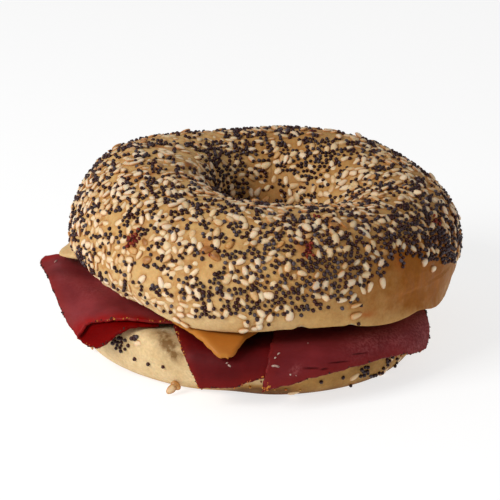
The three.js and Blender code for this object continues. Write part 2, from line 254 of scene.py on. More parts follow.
def left_lift(x, y):
    return smooth(y, *LIFT_FRONT) * sum(rise * smooth(-x, *reach) for rise, *reach in LIFTS)


def drape(x, y, layer):
    """Carries flat points (x, y) about the bottom half's centre onto it: flat on the cut face, bent
    over the rim, then hanging. Gives the places and the sheet's normals."""
    level = layer + (left_lift(x, y) if layer > LEVEL_1 else 0)
    angle, reach = np.arctan2(y, x), np.hypot(x, y)
    start = FOLD_RADIUS + waves(angle, FOLD_WAVES)
    bend = BEND_RADIUS + level
    hang = np.radians(np.interp(from_front(angle), *zip(*HANG)))
    past = reach - start
    turned = np.clip(past / bend, 0, hang)
    straight = np.maximum(0, past - hang * bend)
    r = np.where(past <= 0, reach, start + bend * np.sin(turned) + straight * np.cos(hang))
    drop = bend * (1 - np.cos(turned)) + straight * np.sin(hang)
    cut_x = CENTRE_X + np.minimum(reach, start) * np.cos(angle)
    height = bottom_cut(cut_x) + level - drop
    place = np.stack([CENTRE_X + r * np.cos(angle), r * np.sin(angle), height], -1)
    out = np.sin(turned)
    return place, np.stack([out * np.cos(angle), out * np.sin(angle), np.cos(turned)], -1)


class Curve:
    """A smooth line through flat points, read by the share of its length."""

    def __init__(self, points):
        p = np.array(points, float)
        p = np.vstack([2 * p[0] - p[1], p, 2 * p[-1] - p[-2]])
        fine = []
        for a, b, c, d in zip(p[:-3], p[1:-2], p[2:-1], p[3:]):
            s = np.linspace(0, 1, 24, endpoint=False)[:, None]
            fine.append(0.5 * (2 * b + (c - a) * s + (2 * a - 5 * b + 4 * c - d) * s ** 2
                               + (3 * b - a - 3 * c + d) * s ** 3))
        self.points = np.vstack(fine + [p[-2:-1]])
        steps = np.linalg.norm(np.diff(self.points, axis=0), axis=1)
        travelled = np.concatenate([[0], np.cumsum(steps)])
        self.length = travelled[-1]
        self.shares = travelled / self.length

    def __call__(self, share):
        return np.stack([np.interp(share, self.shares, self.points[:, k]) for k in (0, 1)], -1)


# Meshes


def to_frame(points):
    return (np.asarray(points, float) + (*AXIS_OFFSET, 0)) * MM


def add_object(name, data):
    thing = bpy.data.objects.new(name, data)
    bpy.context.scene.collection.objects.link(thing)
    return thing


def add_piece(name, points, faces, materials, values, node, face_slots=0):
    """A piece of smooth faces riding on the root; points are in bagel millimetres, values are
    numbers kept for each point for its material."""
    mesh = bpy.data.meshes.new(name)
    mesh.from_pydata(to_frame(points).tolist(), [], faces.tolist())
    for key, numbers in values.items():
        attribute = mesh.attributes.new(key, "FLOAT", "POINT")
        attribute.data.foreach_set("value", np.asarray(numbers, np.float32).ravel())
    for material in materials:
        mesh.materials.append(material)
    every = np.ones(len(faces), np.int32)
    mesh.polygons.foreach_set("material_index", every * face_slots)
    mesh.polygons.foreach_set("use_smooth", every.astype(bool))
    mesh.update()
    piece = add_object(name, mesh)
    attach(piece, "root")
    if node:
        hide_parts(node)


def grid_faces(rows, columns, wrap):
    i, j = [k.ravel() for k in np.indices((rows - 1 + wrap, columns - 1 + wrap))]
    i2, j2 = (i + 1) % rows, (j + 1) % columns
    return np.stack([i * columns + j, i2 * columns + j, i2 * columns + j2, i * columns + j2], -1)


def scatter(name, shape, places, frames, scales, material, tone, node=None):
    """One joined mesh of copies of a small shape, which is points, faces and numbers for its points.
    frames hold the copies' axes as columns, and tone is a number for each copy. Copies on the top
    half are tilted with it."""
    if node == "top_bun":
        places, frames = tilt_top(places), TILT @ frames
    corners, faces, own = shape
    points = np.einsum("nij,nvj->nvi", frames, corners[None] * scales[:, None, :]) + places[:, None, :]
    joined = faces[None] + np.arange(len(places))[:, None, None] * len(corners)
    values = {"tone": np.repeat(tone, len(corners))}
    values.update({key: np.tile(each, len(places)) for key, each in own.items()})
    add_piece(name, points.reshape(-1, 3), joined.reshape(-1, 3), [material], values, node)


# Materials

def linear(colour):
    """A colour of 0 to 255 screen values, made linear, with its alpha."""
    shares = [c / 255 / 12.92 if c <= 10 else ((c / 255 + 0.055) / 1.055) ** 2.4 for c in colour]
    return *shares, 1.0


class Nodes:
    """A short way to write a material's nodes. What goes into a socket is another node's output, a
    number, a list of numbers, or a tuple for a colour of 0 to 255 screen values."""

    def __init__(self, name):
        self.material = bpy.data.materials.new(name)
        self.material.use_nodes = True
        self.tree = self.material.node_tree
        self.shader = self.tree.nodes["Principled BSDF"]
        self.place = self.add("ShaderNodeTexCoord", "Object", {})

    def link(self, source, target):
        if isinstance(source, tuple):
            target.default_value = linear(source)
        elif isinstance(source, (int, float, list)):
            target.default_value = source
        elif source is not None:
            self.tree.links.new(source, target)

    def add(self, kind, output, sources, **settings):
        node = self.tree.nodes.new(kind)
        for key, value in settings.items():
            setattr(node, key, value)
        for socket, source in sources.items():
            self.link(source, node.inputs[socket])
        return node.outputs[output]

    def noise(self, scale_mm, detail, rough=0.55, stretch=None):
        place = self.place
        if stretch:
            place = self.add("ShaderNodeMapping", "Vector", {"Vector": place, "Scale": stretch})
        return self.add("ShaderNodeTexNoise", "Fac", {
            "Vector": place, "Scale": 1 / (scale_mm * MM), "Detail": detail, "Roughness": rough})

    def value(self, name):
        return self.add("ShaderNodeAttribute", "Fac", {}, attribute_name=name)

    def math(self, operation, a, b):
        return self.add("ShaderNodeMath", 0, {0: a, 1: b}, operation=operation)

    def ramp(self, fac, *stops):
        node = self.tree.nodes.new("ShaderNodeValToRGB")
        self.link(fac, node.inputs["Fac"])
        ends = node.color_ramp.elements
        while len(ends) < len(stops):
            ends.new(0.5)
        for end, (at, colour) in zip(ends, stops):
            end.position = at
            end.color = linear(colour)
        return node.outputs["Color"]

    def blend(self, fac, a, b, kind="MIX"):
        return self.add("ShaderNodeMix", 2, {0: fac, 6: a, 7: b}, data_type="RGBA", blend_type=kind)

    def spread(self, fac, low, high, out_low=0.0, out_high=1.0):
        return self.add("ShaderNodeMapRange", "Result", {
            "Value": fac, "From Min": low, "From Max": high, "To Min": out_low, "To Max": out_high})

    def bump(self, height, distance_mm, strength, under=None):
        return self.add("ShaderNodeBump", "Normal", {
            "Height": height, "Distance": distance_mm * MM, "Strength": strength, "Normal": under})

    def finish(self, colour, rough, normal=None, **plain):
        self.link(colour, self.shader.inputs["Base Color"])
        self.link(rough, self.shader.inputs["Roughness"])
        self.link(normal, self.shader.inputs["Normal"])
        for key, value in plain.items():
            self.shader.inputs[key.replace("_", " ")].default_value = value
        return self.material


def crust_material(name, pale, golden, brown, scorch_and_shade):
    n = Nodes(name)
    mottle = n.noise(6, 5, 0.6)
    bake = n.math("ADD", n.value("bake"), n.spread(mottle, 0.3, 0.7, -0.13, 0.13))
    colour = n.ramp(bake, (0.0, pale), (0.45, golden), (1.0, brown))
    orange = n.spread(n.noise(3.5, 3, 0.6), 0.52, 0.7, 0, 0.28)
    colour = n.blend(n.math("MULTIPLY", orange, n.value("bake")), colour, (184, 108, 38))
    # crust lightened: painted light on the crown's left, and lighter low at the right
    colour = n.blend(n.value("painted_light_and_pale"), colour, (228, 186, 122))
    # a ring round each seed: partly painted contact shade, partly oily browning of the crust
    seed_shade_and_oil = n.math("MULTIPLY", n.value("near"), n.spread(n.noise(1.4, 3, 0.6), 0.3, 0.6, 0.15, 0.75))
    colour = n.blend(seed_shade_and_oil, colour, (172, 114, 56))
    colour = n.blend(n.spread(n.noise(0.8, 3, 0.6), 0.38, 0.7, 0, 0.2), colour, brown, "MULTIPLY")
    # dark spots: burnt scorches on the top half, painted shadow on the bottom half
    spotted = n.math("MULTIPLY", n.value("scorch_and_shade"), n.spread(n.noise(1.8, 4, 0.6), 0.3, 0.6, 0.3, 0.9))
    colour = n.blend(n.math("MINIMUM", spotted, 1.0), colour, scorch_and_shade)
    normal = n.bump(n.noise(0.5, 3, 0.6), 0.1, 0.5, n.bump(n.noise(2.4, 3, 0.5), 0.4, 0.5))
    return n.finish(colour, n.spread(mottle, 0.3, 0.7, 0.5, 0.64), normal, Specular_IOR_Level=0.1,
                    Subsurface_Weight=0.1, Subsurface_Scale=0.002)


def crumb_material():
    n = Nodes("bread_crumb")
    pores = n.noise(1.6, 5, 0.65)
    colour = n.ramp(pores, (0.3, (160, 128, 84)), (0.55, (206, 182, 140)))
    return n.finish(colour, 0.85, n.bump(pores, 0.8, 0.8), Specular_IOR_Level=0.2,
                    Subsurface_Weight=0.15, Subsurface_Scale=0.003)


def sesame_material():
    n = Nodes("sesame")
    tone = n.math("ADD", n.value("tone"), n.spread(n.noise(1.2, 2), 0.3, 0.7, -0.08, 0.08))
    colour = n.ramp(tone, (0.0, (233, 211, 181)), (0.5, (224, 194, 149)), (0.8, (197, 148, 88)),
                    (1.0, (142, 86, 38)))
    # a golden brown thin edge: partly the crust seen through the seed, partly painted contact shade
    colour = n.blend(n.spread(n.value("rim"), 0.1, 0.8, 0.0, 0.95), colour, (178, 117, 54))
    return n.finish(colour, 0.4, n.bump(n.noise(0.35, 2), 0.05, 0.4), Specular_IOR_Level=0.3,
                    Subsurface_Weight=0.15, Subsurface_Scale=0.001)


def poppy_material():
    n = Nodes("poppy_seed")
    colour = n.ramp(n.value("tone"), (0.0, (88, 77, 82)), (0.12, (60, 44, 49)), (0.45, (45, 18, 17)),
                    (1.0, (58, 14, 8)))
    return n.finish(colour, 0.4, n.bump(n.noise(0.22, 1), 0.06, 0.7), Specular_IOR_Level=0.3)


def meat_material(name, deep, light, warm, edge, gloss):
    n = Nodes(name)
    fibre = n.noise(2.2, 4, 0.6, stretch=[0.25, 1.0, 1.0])
    colour = n.ramp(n.noise(9, 4, 0.55), (0.34, deep), (0.68, light))
    colour = n.blend(n.spread(fibre, 0.4, 0.75, 0, 0.3), colour, deep)
    colour = n.blend(n.math("MULTIPLY", n.value("warm"), 0.6), colour, warm)
    mottle = n.spread(n.noise(0.7, 3, 0.7), 0.42, 0.6, 0.1, 1.0)
    # pale patches: painted sheen and painted light, save a small pink speck
    colour = n.blend(n.math("MULTIPLY", n.value("pale"), mottle), colour, (176, 96, 96))
    # dark patches: painted shade
    colour = n.blend(n.value("dark"), colour, (44, 6, 10))
    colour = n.blend(n.value("red"), colour, (138, 8, 8))
    ragged = n.spread(n.noise(1.1, 3), 0.42, 0.62)
    colour = n.blend(n.math("MULTIPLY", n.value("edge"), ragged), colour, edge)
    # creases darkened with painted shade
    colour = n.blend(n.value("crease"), colour, (66, 0, 2))
    normal = n.bump(n.noise(0.8, 3), 0.05, 0.5, n.bump(fibre, 0.25, 0.4))
    rough = n.spread(n.noise(3.5, 3), 0.3, 0.7, 0.4, 0.6)
    return n.finish(colour, rough, normal, Specular_IOR_Level=gloss, Subsurface_Weight=0.15,
                    Subsurface_Scale=0.002, Subsurface_Radius=(1.0, 0.2, 0.12))


def cheese_material():
    n = Nodes("cheese")
    colour = n.ramp(n.noise(7, 3, 0.5), (0.3, (160, 93, 28)), (0.7, (172, 103, 35)))
    # a lighter band along the left edge: painted highlight where the edge faces the lamp
    colour = n.blend(n.math("MULTIPLY", n.value("side"), 0.45), colour, (190, 128, 50))
    return n.finish(colour, 0.46, n.bump(n.noise(1.3, 3), 0.06, 0.4), Specular_IOR_Level=0.15,
                    Subsurface_Weight=0.2, Subsurface_Scale=0.002, Subsurface_Radius=(1.0, 0.5, 0.15))


def grain_material(name, rough, *stops):
    n = Nodes(name)
    return n.finish(n.ramp(n.value("tone"), *stops), rough, n.bump(n.noise(0.3, 2), 0.08, 0.8),
                    Specular_IOR_Level=0.25)


# Bread

TOP_AROUND, BOTTOM_AROUND = 600, 420  # points round the halves
# Below this line, a t at each turn, the top half carries no seeds
SEED_LINE = ((-180, -0.6), (-115, -0.7), (-100, -0.4), (-88, -0.3), (-82, -0.4), (-77, -0.85),
             (-58, -0.97), (-30, -0.97), (-19, -0.6), (-8, -0.32), (3, -0.3), (8, -0.14),
             (17, -0.14), (22, -0.08), (26, 0.04), (30, 0.14), (34, 0.24), (38, 0.36), (42, 0.42),
             (48, 0.36), (53, 0.25), (60, 0.17), (69, 0.1), (78, 0.07), (95, -0.1), (112, -0.45),
             (180, -0.6))
# Places on the halves are a turn, a t and more: here a size, or what spots() reads
TOP_SCORCHES = ((43, 0.3, 2), (9, 0.56, 2.2), (-43.5, 0.36, 2.4), (-20, 0.42, 1.6), (30, -0.5, 3),
                (4, 0.86, 2), (21, 0.77, 2), (-63, 0.85, 3), (-100, 1.0, 4))
# Painted shadow on the bottom half, beside and under the middle slice
BOTTOM_SHADE_PATCHES = ((-32.5, 1.85, 3.6, 0.3, 1.3), (-28.3, 1.4, 3.8, 0.32, 1.5),
                 (-25.6, 1.04, 3.2, 0.15, 1.5), (-45, 1.0, 4.5, 0.22, 0.4),
                 (-0.5, 0.45, 2.5, 0.12, 0.8), (8, 0.42, 5, 0.06, 0.7))


def relief(points):
    """Small unevenness of a baked crust, in millimetres."""
    return 0.28 * noise(points, 7, 1) + 0.14 * noise(points, 2.6, 2) + 0.06 * noise(points, 1.1, 3)


def top_place(angle, t):
    """Surface of the dressed top half and its normal, in bagel millimetres before the tilt."""
    p = top_surface(angle, t)
    n = normals(top_surface, angle, t)
    return p + n * relief(p)[..., None], n


def bottom_place(angle, t):
    """Surface of the dressed bottom half and its normal, smoother and even at the foot."""
    p = bottom_surface(angle, t)
    n = normals(bottom_surface, angle, t)
    lift = 0.6 * relief(p) * smooth(p[..., 2], 0.2, 3.0)
    return p + n * lift[..., None], n


def placed(place, table):
    """Angles, marks, places and normals of a table's entries on a half, and its other columns."""
    turn, t, *others = table_columns(table)
    angle = at_turn(turn)
    return (angle, t, *place(angle, t), *others)


def top_cover(angle, t):
    """Share of the top half's seeds that a place carries: none on the lip and in the bare patch."""
    line = np.interp(from_front(angle), *zip(*SEED_LINE)) + 0.04 * np.sin(9 * angle)
    return smooth(t, line - 0.06, line + 0.1)


def top_bake(angle, t):
    """How brown the crust is: pale at the lip, golden above, brown low at the front right."""
    turn = from_front(angle)
    far_right = smooth(turn, 45, 65)
    patch = hump(turn, 20, 51, 85, 120) * (1 - smooth(t, 0.25, 0.6))
    patch = patch * smooth(t, mix(-1.2, -2.4, far_right), mix(-0.5, -1.2, far_right))
    right = (0.28 - 0.2 * smooth(t, 0.45, 0.75)) * hump(turn, -15, 35, 110, 150)
    front_lip = hump(turn, -25, 0, 110, 150) * (1 - smooth(t, -0.6, 0))
    pale_left = bell(turn, -40, 25) * (1 - smooth(t, -0.2, 0.6))
    back = smooth(abs(turn), 140, 165) * smooth(t, 0.8, 1.1)
    above = 0.3 * smooth(t, -0.8, 0.1) + 0.1 * smooth(t, 0.2, 0.9)
    return 0.1 + above + right + 0.14 * front_lip - 0.12 * pale_left + 0.16 * back + 0.4 * patch


def top_painted_light_and_pale(angle, t):
    """Where the crust is lighter than the rest: on the crown's left as painted light, standing in for the
    light the crown catches there, and low at the right.
    """
    turn = from_front(angle)
    left = hump(turn, -175, -130, 5, 35) * hump(t, 0.4, 0.7, 1.5, 1.8)
    right = hump(turn, 62, 78, 90, 110) * (1 - smooth(t, 0.0, 0.3))
    return (0.35 + 0.4 * (1 - smooth(turn, -100, -70))) * left + 0.12 * right


def seed_shade_and_oil(points, seeds):
    """How close points are to a seed: 1 beneath one, 0 from 1.9 mm away. This masks a ring round each seed
    that is partly painted contact shade and partly oily browning of the crust.
    """
    tree = KDTree(len(seeds))
    for index, seed in enumerate(seeds):
        tree.insert(seed, index)
    tree.balance()
    away = np.array([tree.find(p)[2] for p in points])
    return 1 - smooth(away, 0.7, 1.9)


def ring_grid(around, marks):
    """Angles and marks of rows of points, one row for each angle."""
    return np.meshgrid(np.arange(around) / around * TAU, marks, indexing="ij")


def filled(start, end, count):
    """Points between two edges, in rows from one to the other."""
    return np.stack([mix(start, end, share) for share in np.linspace(0, 1, count + 2)[1:-1]], 1)


def padded(values, length):
    return np.pad(values, ((0, 0), (0, length - values.shape[1])))


def add_half(name, rows, crumb, materials, values, node):
    """Closes rows of points to a ring; crumb is the range of each row that lies on the cut face."""
    faces = grid_faces(*rows.shape[:2], True)
    mark = faces[:, 0] % rows.shape[1]
    on_cut = (mark >= crumb[0]) & (mark < crumb[1])
    add_piece(name, rows.reshape(-1, 3), faces, materials, values, node, on_cut)


def build_top(crust, crumb, seeds):
    bands = ((-1, 0, 24), (0, 1, 52), (1, 2, 38), (2, 3, 12))  # from t, to t and steps
    marks = [np.linspace(low, high, steps, endpoint=False) for low, high, steps in bands]
    angle, t = ring_grid(TOP_AROUND, np.append(np.concatenate(marks), 3))
    shell, _ = top_place(angle, t)
    cut = filled(shell[:, -1], shell[:, 0], 20)
    reach = np.hypot(cut[..., 0], cut[..., 1])
    cut[..., 2] = top_lip(angle[:, :1]) * smooth(reach, TOP_CUT_RADIUS - LIP_WIDTH, TOP_CUT_RADIUS) ** 1.5
    cut[..., 2] += 0.25 * np.abs(noise(cut, 2.2, 5)) + 0.1 * noise(cut, 0.9, 6)
    rows = np.concatenate([shell, cut], 1)
    scorches = [(turn, mark, size, size / 20, 1) for turn, mark, size in TOP_SCORCHES]
    on_shell = (("bake", top_bake(angle, t)), ("painted_light_and_pale", top_painted_light_and_pale(angle, t)),
                ("scorch_and_shade", spots(angle, t, scorches)))
    values = {key: padded(each, rows.shape[1]) for key, each in on_shell}
    # near masks the ring round the seeds, which is partly painted contact shade
    values["near"] = seed_shade_and_oil(rows.reshape(-1, 3), seeds)
    add_half("top_bread", tilt_top(rows), (shell.shape[1] - 1, rows.shape[1]), [crust, crumb], values,
             "top_bun")


def build_bottom(crust, crumb):
    side = np.concatenate([np.linspace(0, 1, 22, endpoint=False), np.linspace(1, 2, 20)])
    angle, t = ring_grid(BOTTOM_AROUND, side)
    wall, _ = bottom_place(angle, t)
    inside, _ = bottom_place(*ring_grid(BOTTOM_AROUND, np.linspace(3, 4, 16)))
    cut = filled(wall[:, -1], inside[:, 0], 26)
    cut[..., 2] = bottom_cut(cut[..., 0]) - 0.2 * np.abs(noise(cut, 2.2, 7)) - 0.08 * noise(cut, 0.9, 8)
    rows = np.concatenate([wall, cut, inside, filled(inside[:, -1], wall[:, 0], 6)], 1)
    x, y, z = np.moveaxis(rows, -1, 0)
    turn = from_front(np.arctan2(y, x))
    # darker low at the front under the middle slice: partly painted shade, partly toasting
    low_front = bell(turn, -2, 14) * (1 - smooth(z, 2, 6))
    bake = 0.05 + 0.3 * (1 - smooth(z, 0.3, 2.5)) + 1.1 * low_front + 0.5 * hump(turn, -15, 30, 120, 170)
    # painted shadow beside and under the middle slice
    scorch_and_shade = padded(spots(angle, t, BOTTOM_SHADE_PATCHES), rows.shape[1])
    add_half("bottom_bread", rows, (len(side) - 1, len(side) + cut.shape[1]), [crust, crumb],
             {"bake": bake, "scorch_and_shade": scorch_and_shade}, "bottom_bun")


# Seeds and crumbs

SESAME = (3.2, 1.98, 0.85)  # length, width and thickness
POPPY = 1.2
TOP_AREA = 16000  # of the top half's crust, in square mm
# Draws to choose from, and seeds at most
SESAME_TRIES, POPPY_TRIES, BOTTOM_TRIES = 70000, 220000, 900
SESAME_COUNT, LOOSE_COUNT, POPPY_COUNT = 2400, 50, 5450
BOTTOM_SESAME_COUNT, BOTTOM_POPPY_COUNT = 34, 110
# Smallest distances between centres
SESAME_GAP, POPPY_GAP, POPPY_TO_SESAME, LOOSE_GAP = 1.8, 1.0, 1.2, 6
SESAME_TO_PLACED, SESAME_TO_FLAKE, POPPY_TO_FLAKE = 2.3, 2.7, 2.1
BOTTOM_SESAME_GAP, BOTTOM_POPPY_GAP = 5, 1.4
# Heights of centres above the crust
BURIED_LIFT, LYING_LIFT, LOOSE_LIFT, PLACED_LIFT = (-0.36, -0.24), (-0.22, 0.2), 0.5, 0.2
POPPY_LIFT, LIP_POPPY_LIFT, BOTTOM_POPPY_LIFT = 0.22, 0.3, 0.24
CROWDING, DENSEST = 62, 0.19  # how far the draws make up for seeds lost to the gaps
POPPY_TIP = 0.8  # how far poppy seeds lie tipped at random
# Where the top half is strewn more thickly or thinly than usual: turn, t, share under poppy seeds,
# sesame seeds per square mm
STREWN = (
    (-67, 0.08, 0.3, 0.14), (-76, 0.56, 0.22, 0.16), (-84, 0.76, 0.15, 0.12), (-80, 0.93, 0.14, 0.11),
    (-61, 0.8, 0.4, 0.12), (-58, 0.57, 0.08, 0.17), (-51, 0.6, 0.5, 0.11), (-41, 0.84, 0.5, 0.08),
    (-64, 1.3, 0.0, 0.09), (-95, 1.2, 0.0, 0.09), (-110, 1.3, 0.0, 0.09), (-34, 0.98, 0.1, 0.13),
    (-38, 0.57, 0.44, 0.14), (-31, 0.65, 0.18, 0.15), (-25, 0.73, 0.34, 0.12), (-13, 0.8, 0.08, 0.14),
    (-46, 0.17, 0.14, 0.17), (-28, 0.47, 0.12, 0.15), (-11, 0.59, 0.18, 0.11), (-6, 0.6, 0.42, 0.1),
    (-6, 0.85, 0.44, 0.12), (2, 0.86, 0.06, 0.14), (11, 0.87, 0.14, 0.12), (21, 0.86, 0.6, 0.09),
    (44, 0.82, 0.1, 0.14), (56, 0.73, 0.24, 0.12), (65, 0.63, 0.5, 0.08), (78, 0.48, 0.36, 0.09),
    (-0.5, 0.62, 0.9, 0.08), (6.5, 0.56, 0.0, 0.13), (15, 0.61, 1.2, 0.04), (23, 0.6, 0.08, 0.12),
    (29, 0.62, 0.0, 0.14), (38, 0.58, 0.9, 0.08), (48, 0.52, 1.0, 0.03), (57, 0.45, 1.1, 0.04),
    (70, 0.35, 1.1, 0.04), (-27, 0.29, 0.4, 0.12), (-21, 0.35, 0.25, 0.11), (-13, 0.39, 0.52, 0.08),
    (-4, 0.42, 0.14, 0.12), (1.8, 0.45, 1.5, 0.03), (8.8, 0.44, 0.0, 0.11), (14.8, 0.42, 1.6, 0.03),
    (20, 0.41, 0.56, 0.07), (28, 0.4, 1.1, 0.05), (34, 0.42, 0.0, 0.17), (44, 0.42, 1.0, 0.04),
    (55, 0.3, 1.2, 0.03), (67, 0.2, 1.5, 0.03), (-37, 0.05, 0.0, 0.18), (-27, 0.12, 0.18, 0.12),
    (-17, 0.26, 0.0, 0.13), (-6, 0.23, 1.0, 0.06), (2, 0.26, 0.02, 0.12), (8, 0.26, 0.6, 0.08),
    (18, 0.24, 0.9, 0.05), (26, 0.23, 0.35, 0.08), (-33, -0.3, 0.36, 0.13), (-17, 0.03, 0.72, 0.09),
    (-9, 0.06, 0.26, 0.1), (2, 0.09, 0.9, 0.07), (11, 0.09, 0.24, 0.09), (23, 0.04, 0.0, 0.06),
    (-117, 1.6, 0.52, 0.05), (-146, 1.62, 0.56, 0.05), (-170, 1.62, 0.26, 0.11), (171, 1.61, 0.0, 0.17),
    (147, 1.58, 0.36, 0.12), (116, 1.43, 0.18, 0.15), (103, 1.28, 0.3, 0.14), (94, 1.04, 0.5, 0.1),
    (100, 0.76, 0.1, 0.13), (-136, 1.37, 0.44, 0.06), (-155, 1.41, 0.8, 0.04), (-171, 1.41, 0.45, 0.1),
    (158, 1.41, 0.5, 0.1), (144, 1.37, 0.95, 0.05), (130, 1.25, 0.44, 0.1), (121, 1.12, 0.3, 0.12),
    (-125, 0.95, 0.0, 0.09), (-150, 1.06, 0.0, 0.09), (-164, 1.12, 0.3, 0.1), (178, 1.15, 0.36, 0.1),
    (164, 1.14, 0.0, 0.13), (146, 1.0, 0.0, 0.13), (-145, 1.84, 0.3, 0.07), (178, 1.8, 0.14, 0.09),
    (145, 1.77, 0.52, 0.1), (108, 1.6, 0.0, 0.17), (70, 0.94, 0.0, 0.16), (80, 0.77, 0.66, 0.06),
    (92, 0.57, 0.3, 0.1))
# How far an entry reaches, in mm, and the weight and the two shares of all other places
STREWN_REACH, STREWN_EDGE, STREWN_BASE = 4.0, 0.1, (0.24, 0.13)
PACKED = 0.75  # share under poppy seeds that lie as close as they can
# Seeds with their own places on the top half: turn, t, the direction they point in and their tone
PLACED_SEEDS = (
    (-26, -0.84, -0.7, 0.0), (-24, -0.92, 2.6, 0.4), (-6.5, -0.88, 0.3, 0.2), (-5.9, -0.62, 1.9, 0.3),
    (-3.0, -0.82, 0.1, 0.1), (-2.2, -0.7, 1.5, 0.0), (0.5, -0.37, 1.3, 0.3), (5.8, -0.29, 1.5, 0.1),
    (-2.2, -0.5, 1.1, 0.2), (25.5, 0.0, 0.3, 0.6), (26, -0.5, 0.3, 0.6), (23.5, 0.19, 0.2, 0.1),
    (35, 0.14, -1.35, 0.2), (55.2, 0.21, 0.2, 0.1), (60, 0.11, -0.1, 0.2), (-19.4, 0.42, 0.3, 1.0),
    (-16.4, 0.37, -0.5, 0.95), (-13.2, 0.5, 1.1, 0.85), (-36, 0.2, 0.5, 0.9), (22, 0.75, 0.2, 0.9),
    (11.5, 0.64, 0.4, 0.75))
LIP_POPPIES = ((0.3, -0.64), (27.3, -0.88), (-5.5, -0.52), (-3, -0.42), (9, -0.3), (27, 0.0), (21, -0.1),
               (43.5, 0.3), (44.4, 0.27), (43.8, 0.24), (44.7, 0.32), (43.9, 0.35), (68, 0.2))
BOTTOM_SESAME = ((-39.2, 1.01, 0.2), (56, 0.45, 0.3), (48, 0.3, 1.2), (43, 0.9, 0.1), (33, 0.55, 0.4),
                 (12, 0.3, 0.2), (50, 0.7, 0.9))
# Seeds stuck to the foot at the front left, as places and the ways that they point
STUCK = (((-24.5, -44.7, 1.75), (-0.75, -0.45, -0.5)), ((-23.2, -43.6, 2.4), (0.8, -0.3, -0.5)))
BOTTOM_POPPIES = ((-41.1, 0.74), (-35.6, 0.73), (-29.9, 0.76), (20.2, 0.62), (28, 0.62), (46.2, 0.35),
                  (32.5, 0.25), (54, 0.34), (-41.6, 1.15), (-40.8, 1.26), (-39.9, 1.3), (-40.3, 1.18))
# Clusters of them: turn, t, their spreads and the count
POPPY_CLUSTERS = ((-47.5, 0.92, 3.2, 0.12, 30), (36.3, 0.6, 1.8, 0.1, 8), (42, 0.42, 2, 0.06, 4),
                  (47.3, 0.6, 1.8, 0.1, 6), (54, 0.5, 2, 0.1, 2))
# Flakes of red pepper on the top half: turn, t, spread in mm and count of bits
FLAKES = ((-42.8, 0.315, 1.0, 34), (11, 0.49, 1.0, 28), (73, 0.5, 0.9, 14), (160, 0.96, 0.7, 8),
          (-69, 0.1, 0.6, 6), (17.2, 0.9, 0.4, 4), (-17.8, 0.36, 0.4, 3), (-130, 0.6, 0.6, 8),
          (120, 0.2, 0.6, 7), (-165, 0.3, 0.6, 8))
NEXT_CELLS = tuple(itertools.product((-1, 0, 1), repeat=3))


def closed_ball(rings, sides):
    """Triangles of a closed form made of a first point, equal rings of points and a last point."""
    rows = 1 + np.arange((rings - 1) * sides).reshape(rings - 1, sides)
    last = rows[-1, -1] + 1
    faces = []
    for j in range(sides):
        k = (j + 1) % sides
        faces += [(0, rows[0, k], rows[0, j]), (last, rows[-1, j], rows[-1, k])]
        for lower, upper in zip(rows[:-1], rows[1:]):
            faces += [(lower[j], lower[k], upper[k]), (lower[j], upper[k], upper[j])]
    return np.array(faces)


def sesame_shape(sides=8, rings=6):
    """A flat drop, 1 in each direction, its pointed end towards +X. rim is 1 at its thin edge."""
    points, rim = [(-0.5, 0, 0)], [1]
    for s in np.arange(1, rings) / rings * math.pi:
        x = -0.5 * math.cos(s)
        girth = math.sin(s) ** 0.75 * (1 - 0.4 * (x + 0.5) ** 1.5) / 1.6
        for b in np.arange(sides) / sides * TAU:
            points.append((x, girth * math.cos(b), girth * math.sin(b)))
            rim.append(max(abs(math.cos(b)) ** 3, abs(2 * x) ** 6))
    points.append((0.5, 0, 0))
    rim.append(1)
    return np.array(points), closed_ball(rings, sides), {"rim": np.array(rim)}


def ball_shape(sides=6, rings=4):
    """A small round grain, 1 across, slightly dented at one side."""
    points = [(0, 0, -0.5)]
    for k in range(1, rings):
        s = math.pi * k / rings
        for b in (np.arange(sides) + 0.5 * (k % 2)) / sides * TAU:
            girth = 0.5 * math.sin(s) * (1 - 0.18 * max(0, math.cos(b)) ** 3)
            points.append((girth * math.cos(b), 0.92 * girth * math.sin(b), -0.5 * math.cos(s)))
    points.append((0, 0, 0.5))
    return np.array(points), closed_ball(rings, sides), {}


def spread_out(points, weights, count, spacing, rng, taken=()):
    """Chooses up to count of the points, the weights being their chances, none closer than spacing
    to another or closer than its own distance to the taken ones."""
    cell = max(spacing, max([gap for _, gap in taken], default=0))
    grid = {}

    def near(p):
        i, j, k = np.floor(p / cell).astype(int)
        for di, dj, dk in NEXT_CELLS:
            yield from grid.get((i + di, j + dj, k + dk), ())

    def put(p, gap):
        grid.setdefault(tuple(np.floor(p / cell).astype(int)), []).append((p, gap))

    for others, gap in taken:
        for p in others:
            put(p, gap)
    keep = []
    for index in np.nonzero(rng.random(len(points)) < weights)[0]:
        p = points[index]
        if all(np.dot(p - q, p - q) >= gap * gap for q, gap in near(p)):
            keep.append(index)
            put(p, spacing)
            if len(keep) == count:
                break
    return np.array(keep, int)


def lying_frames(normal, rng, tip=0.18):
    """Axes for seeds that lie on a surface, turned and tipped at random."""
    n = unit(normal + rng.normal(scale=tip, size=normal.shape))
    x = unit(np.cross(n, rng.normal(size=normal.shape)))
    return np.stack([x, np.cross(n, x), n], -1)


def turned_frames(surface, angle, t, normal, way):
    """Axes for seeds that point in a given direction, 0 being along the surface to the right."""
    across = unit(surface(angle + NUDGE, t) - surface(angle - NUDGE, t))
    x = across * np.cos(way)[:, None] + np.cross(normal, across) * np.sin(way)[:, None]
    return np.stack([x, np.cross(normal, x), normal], -1)


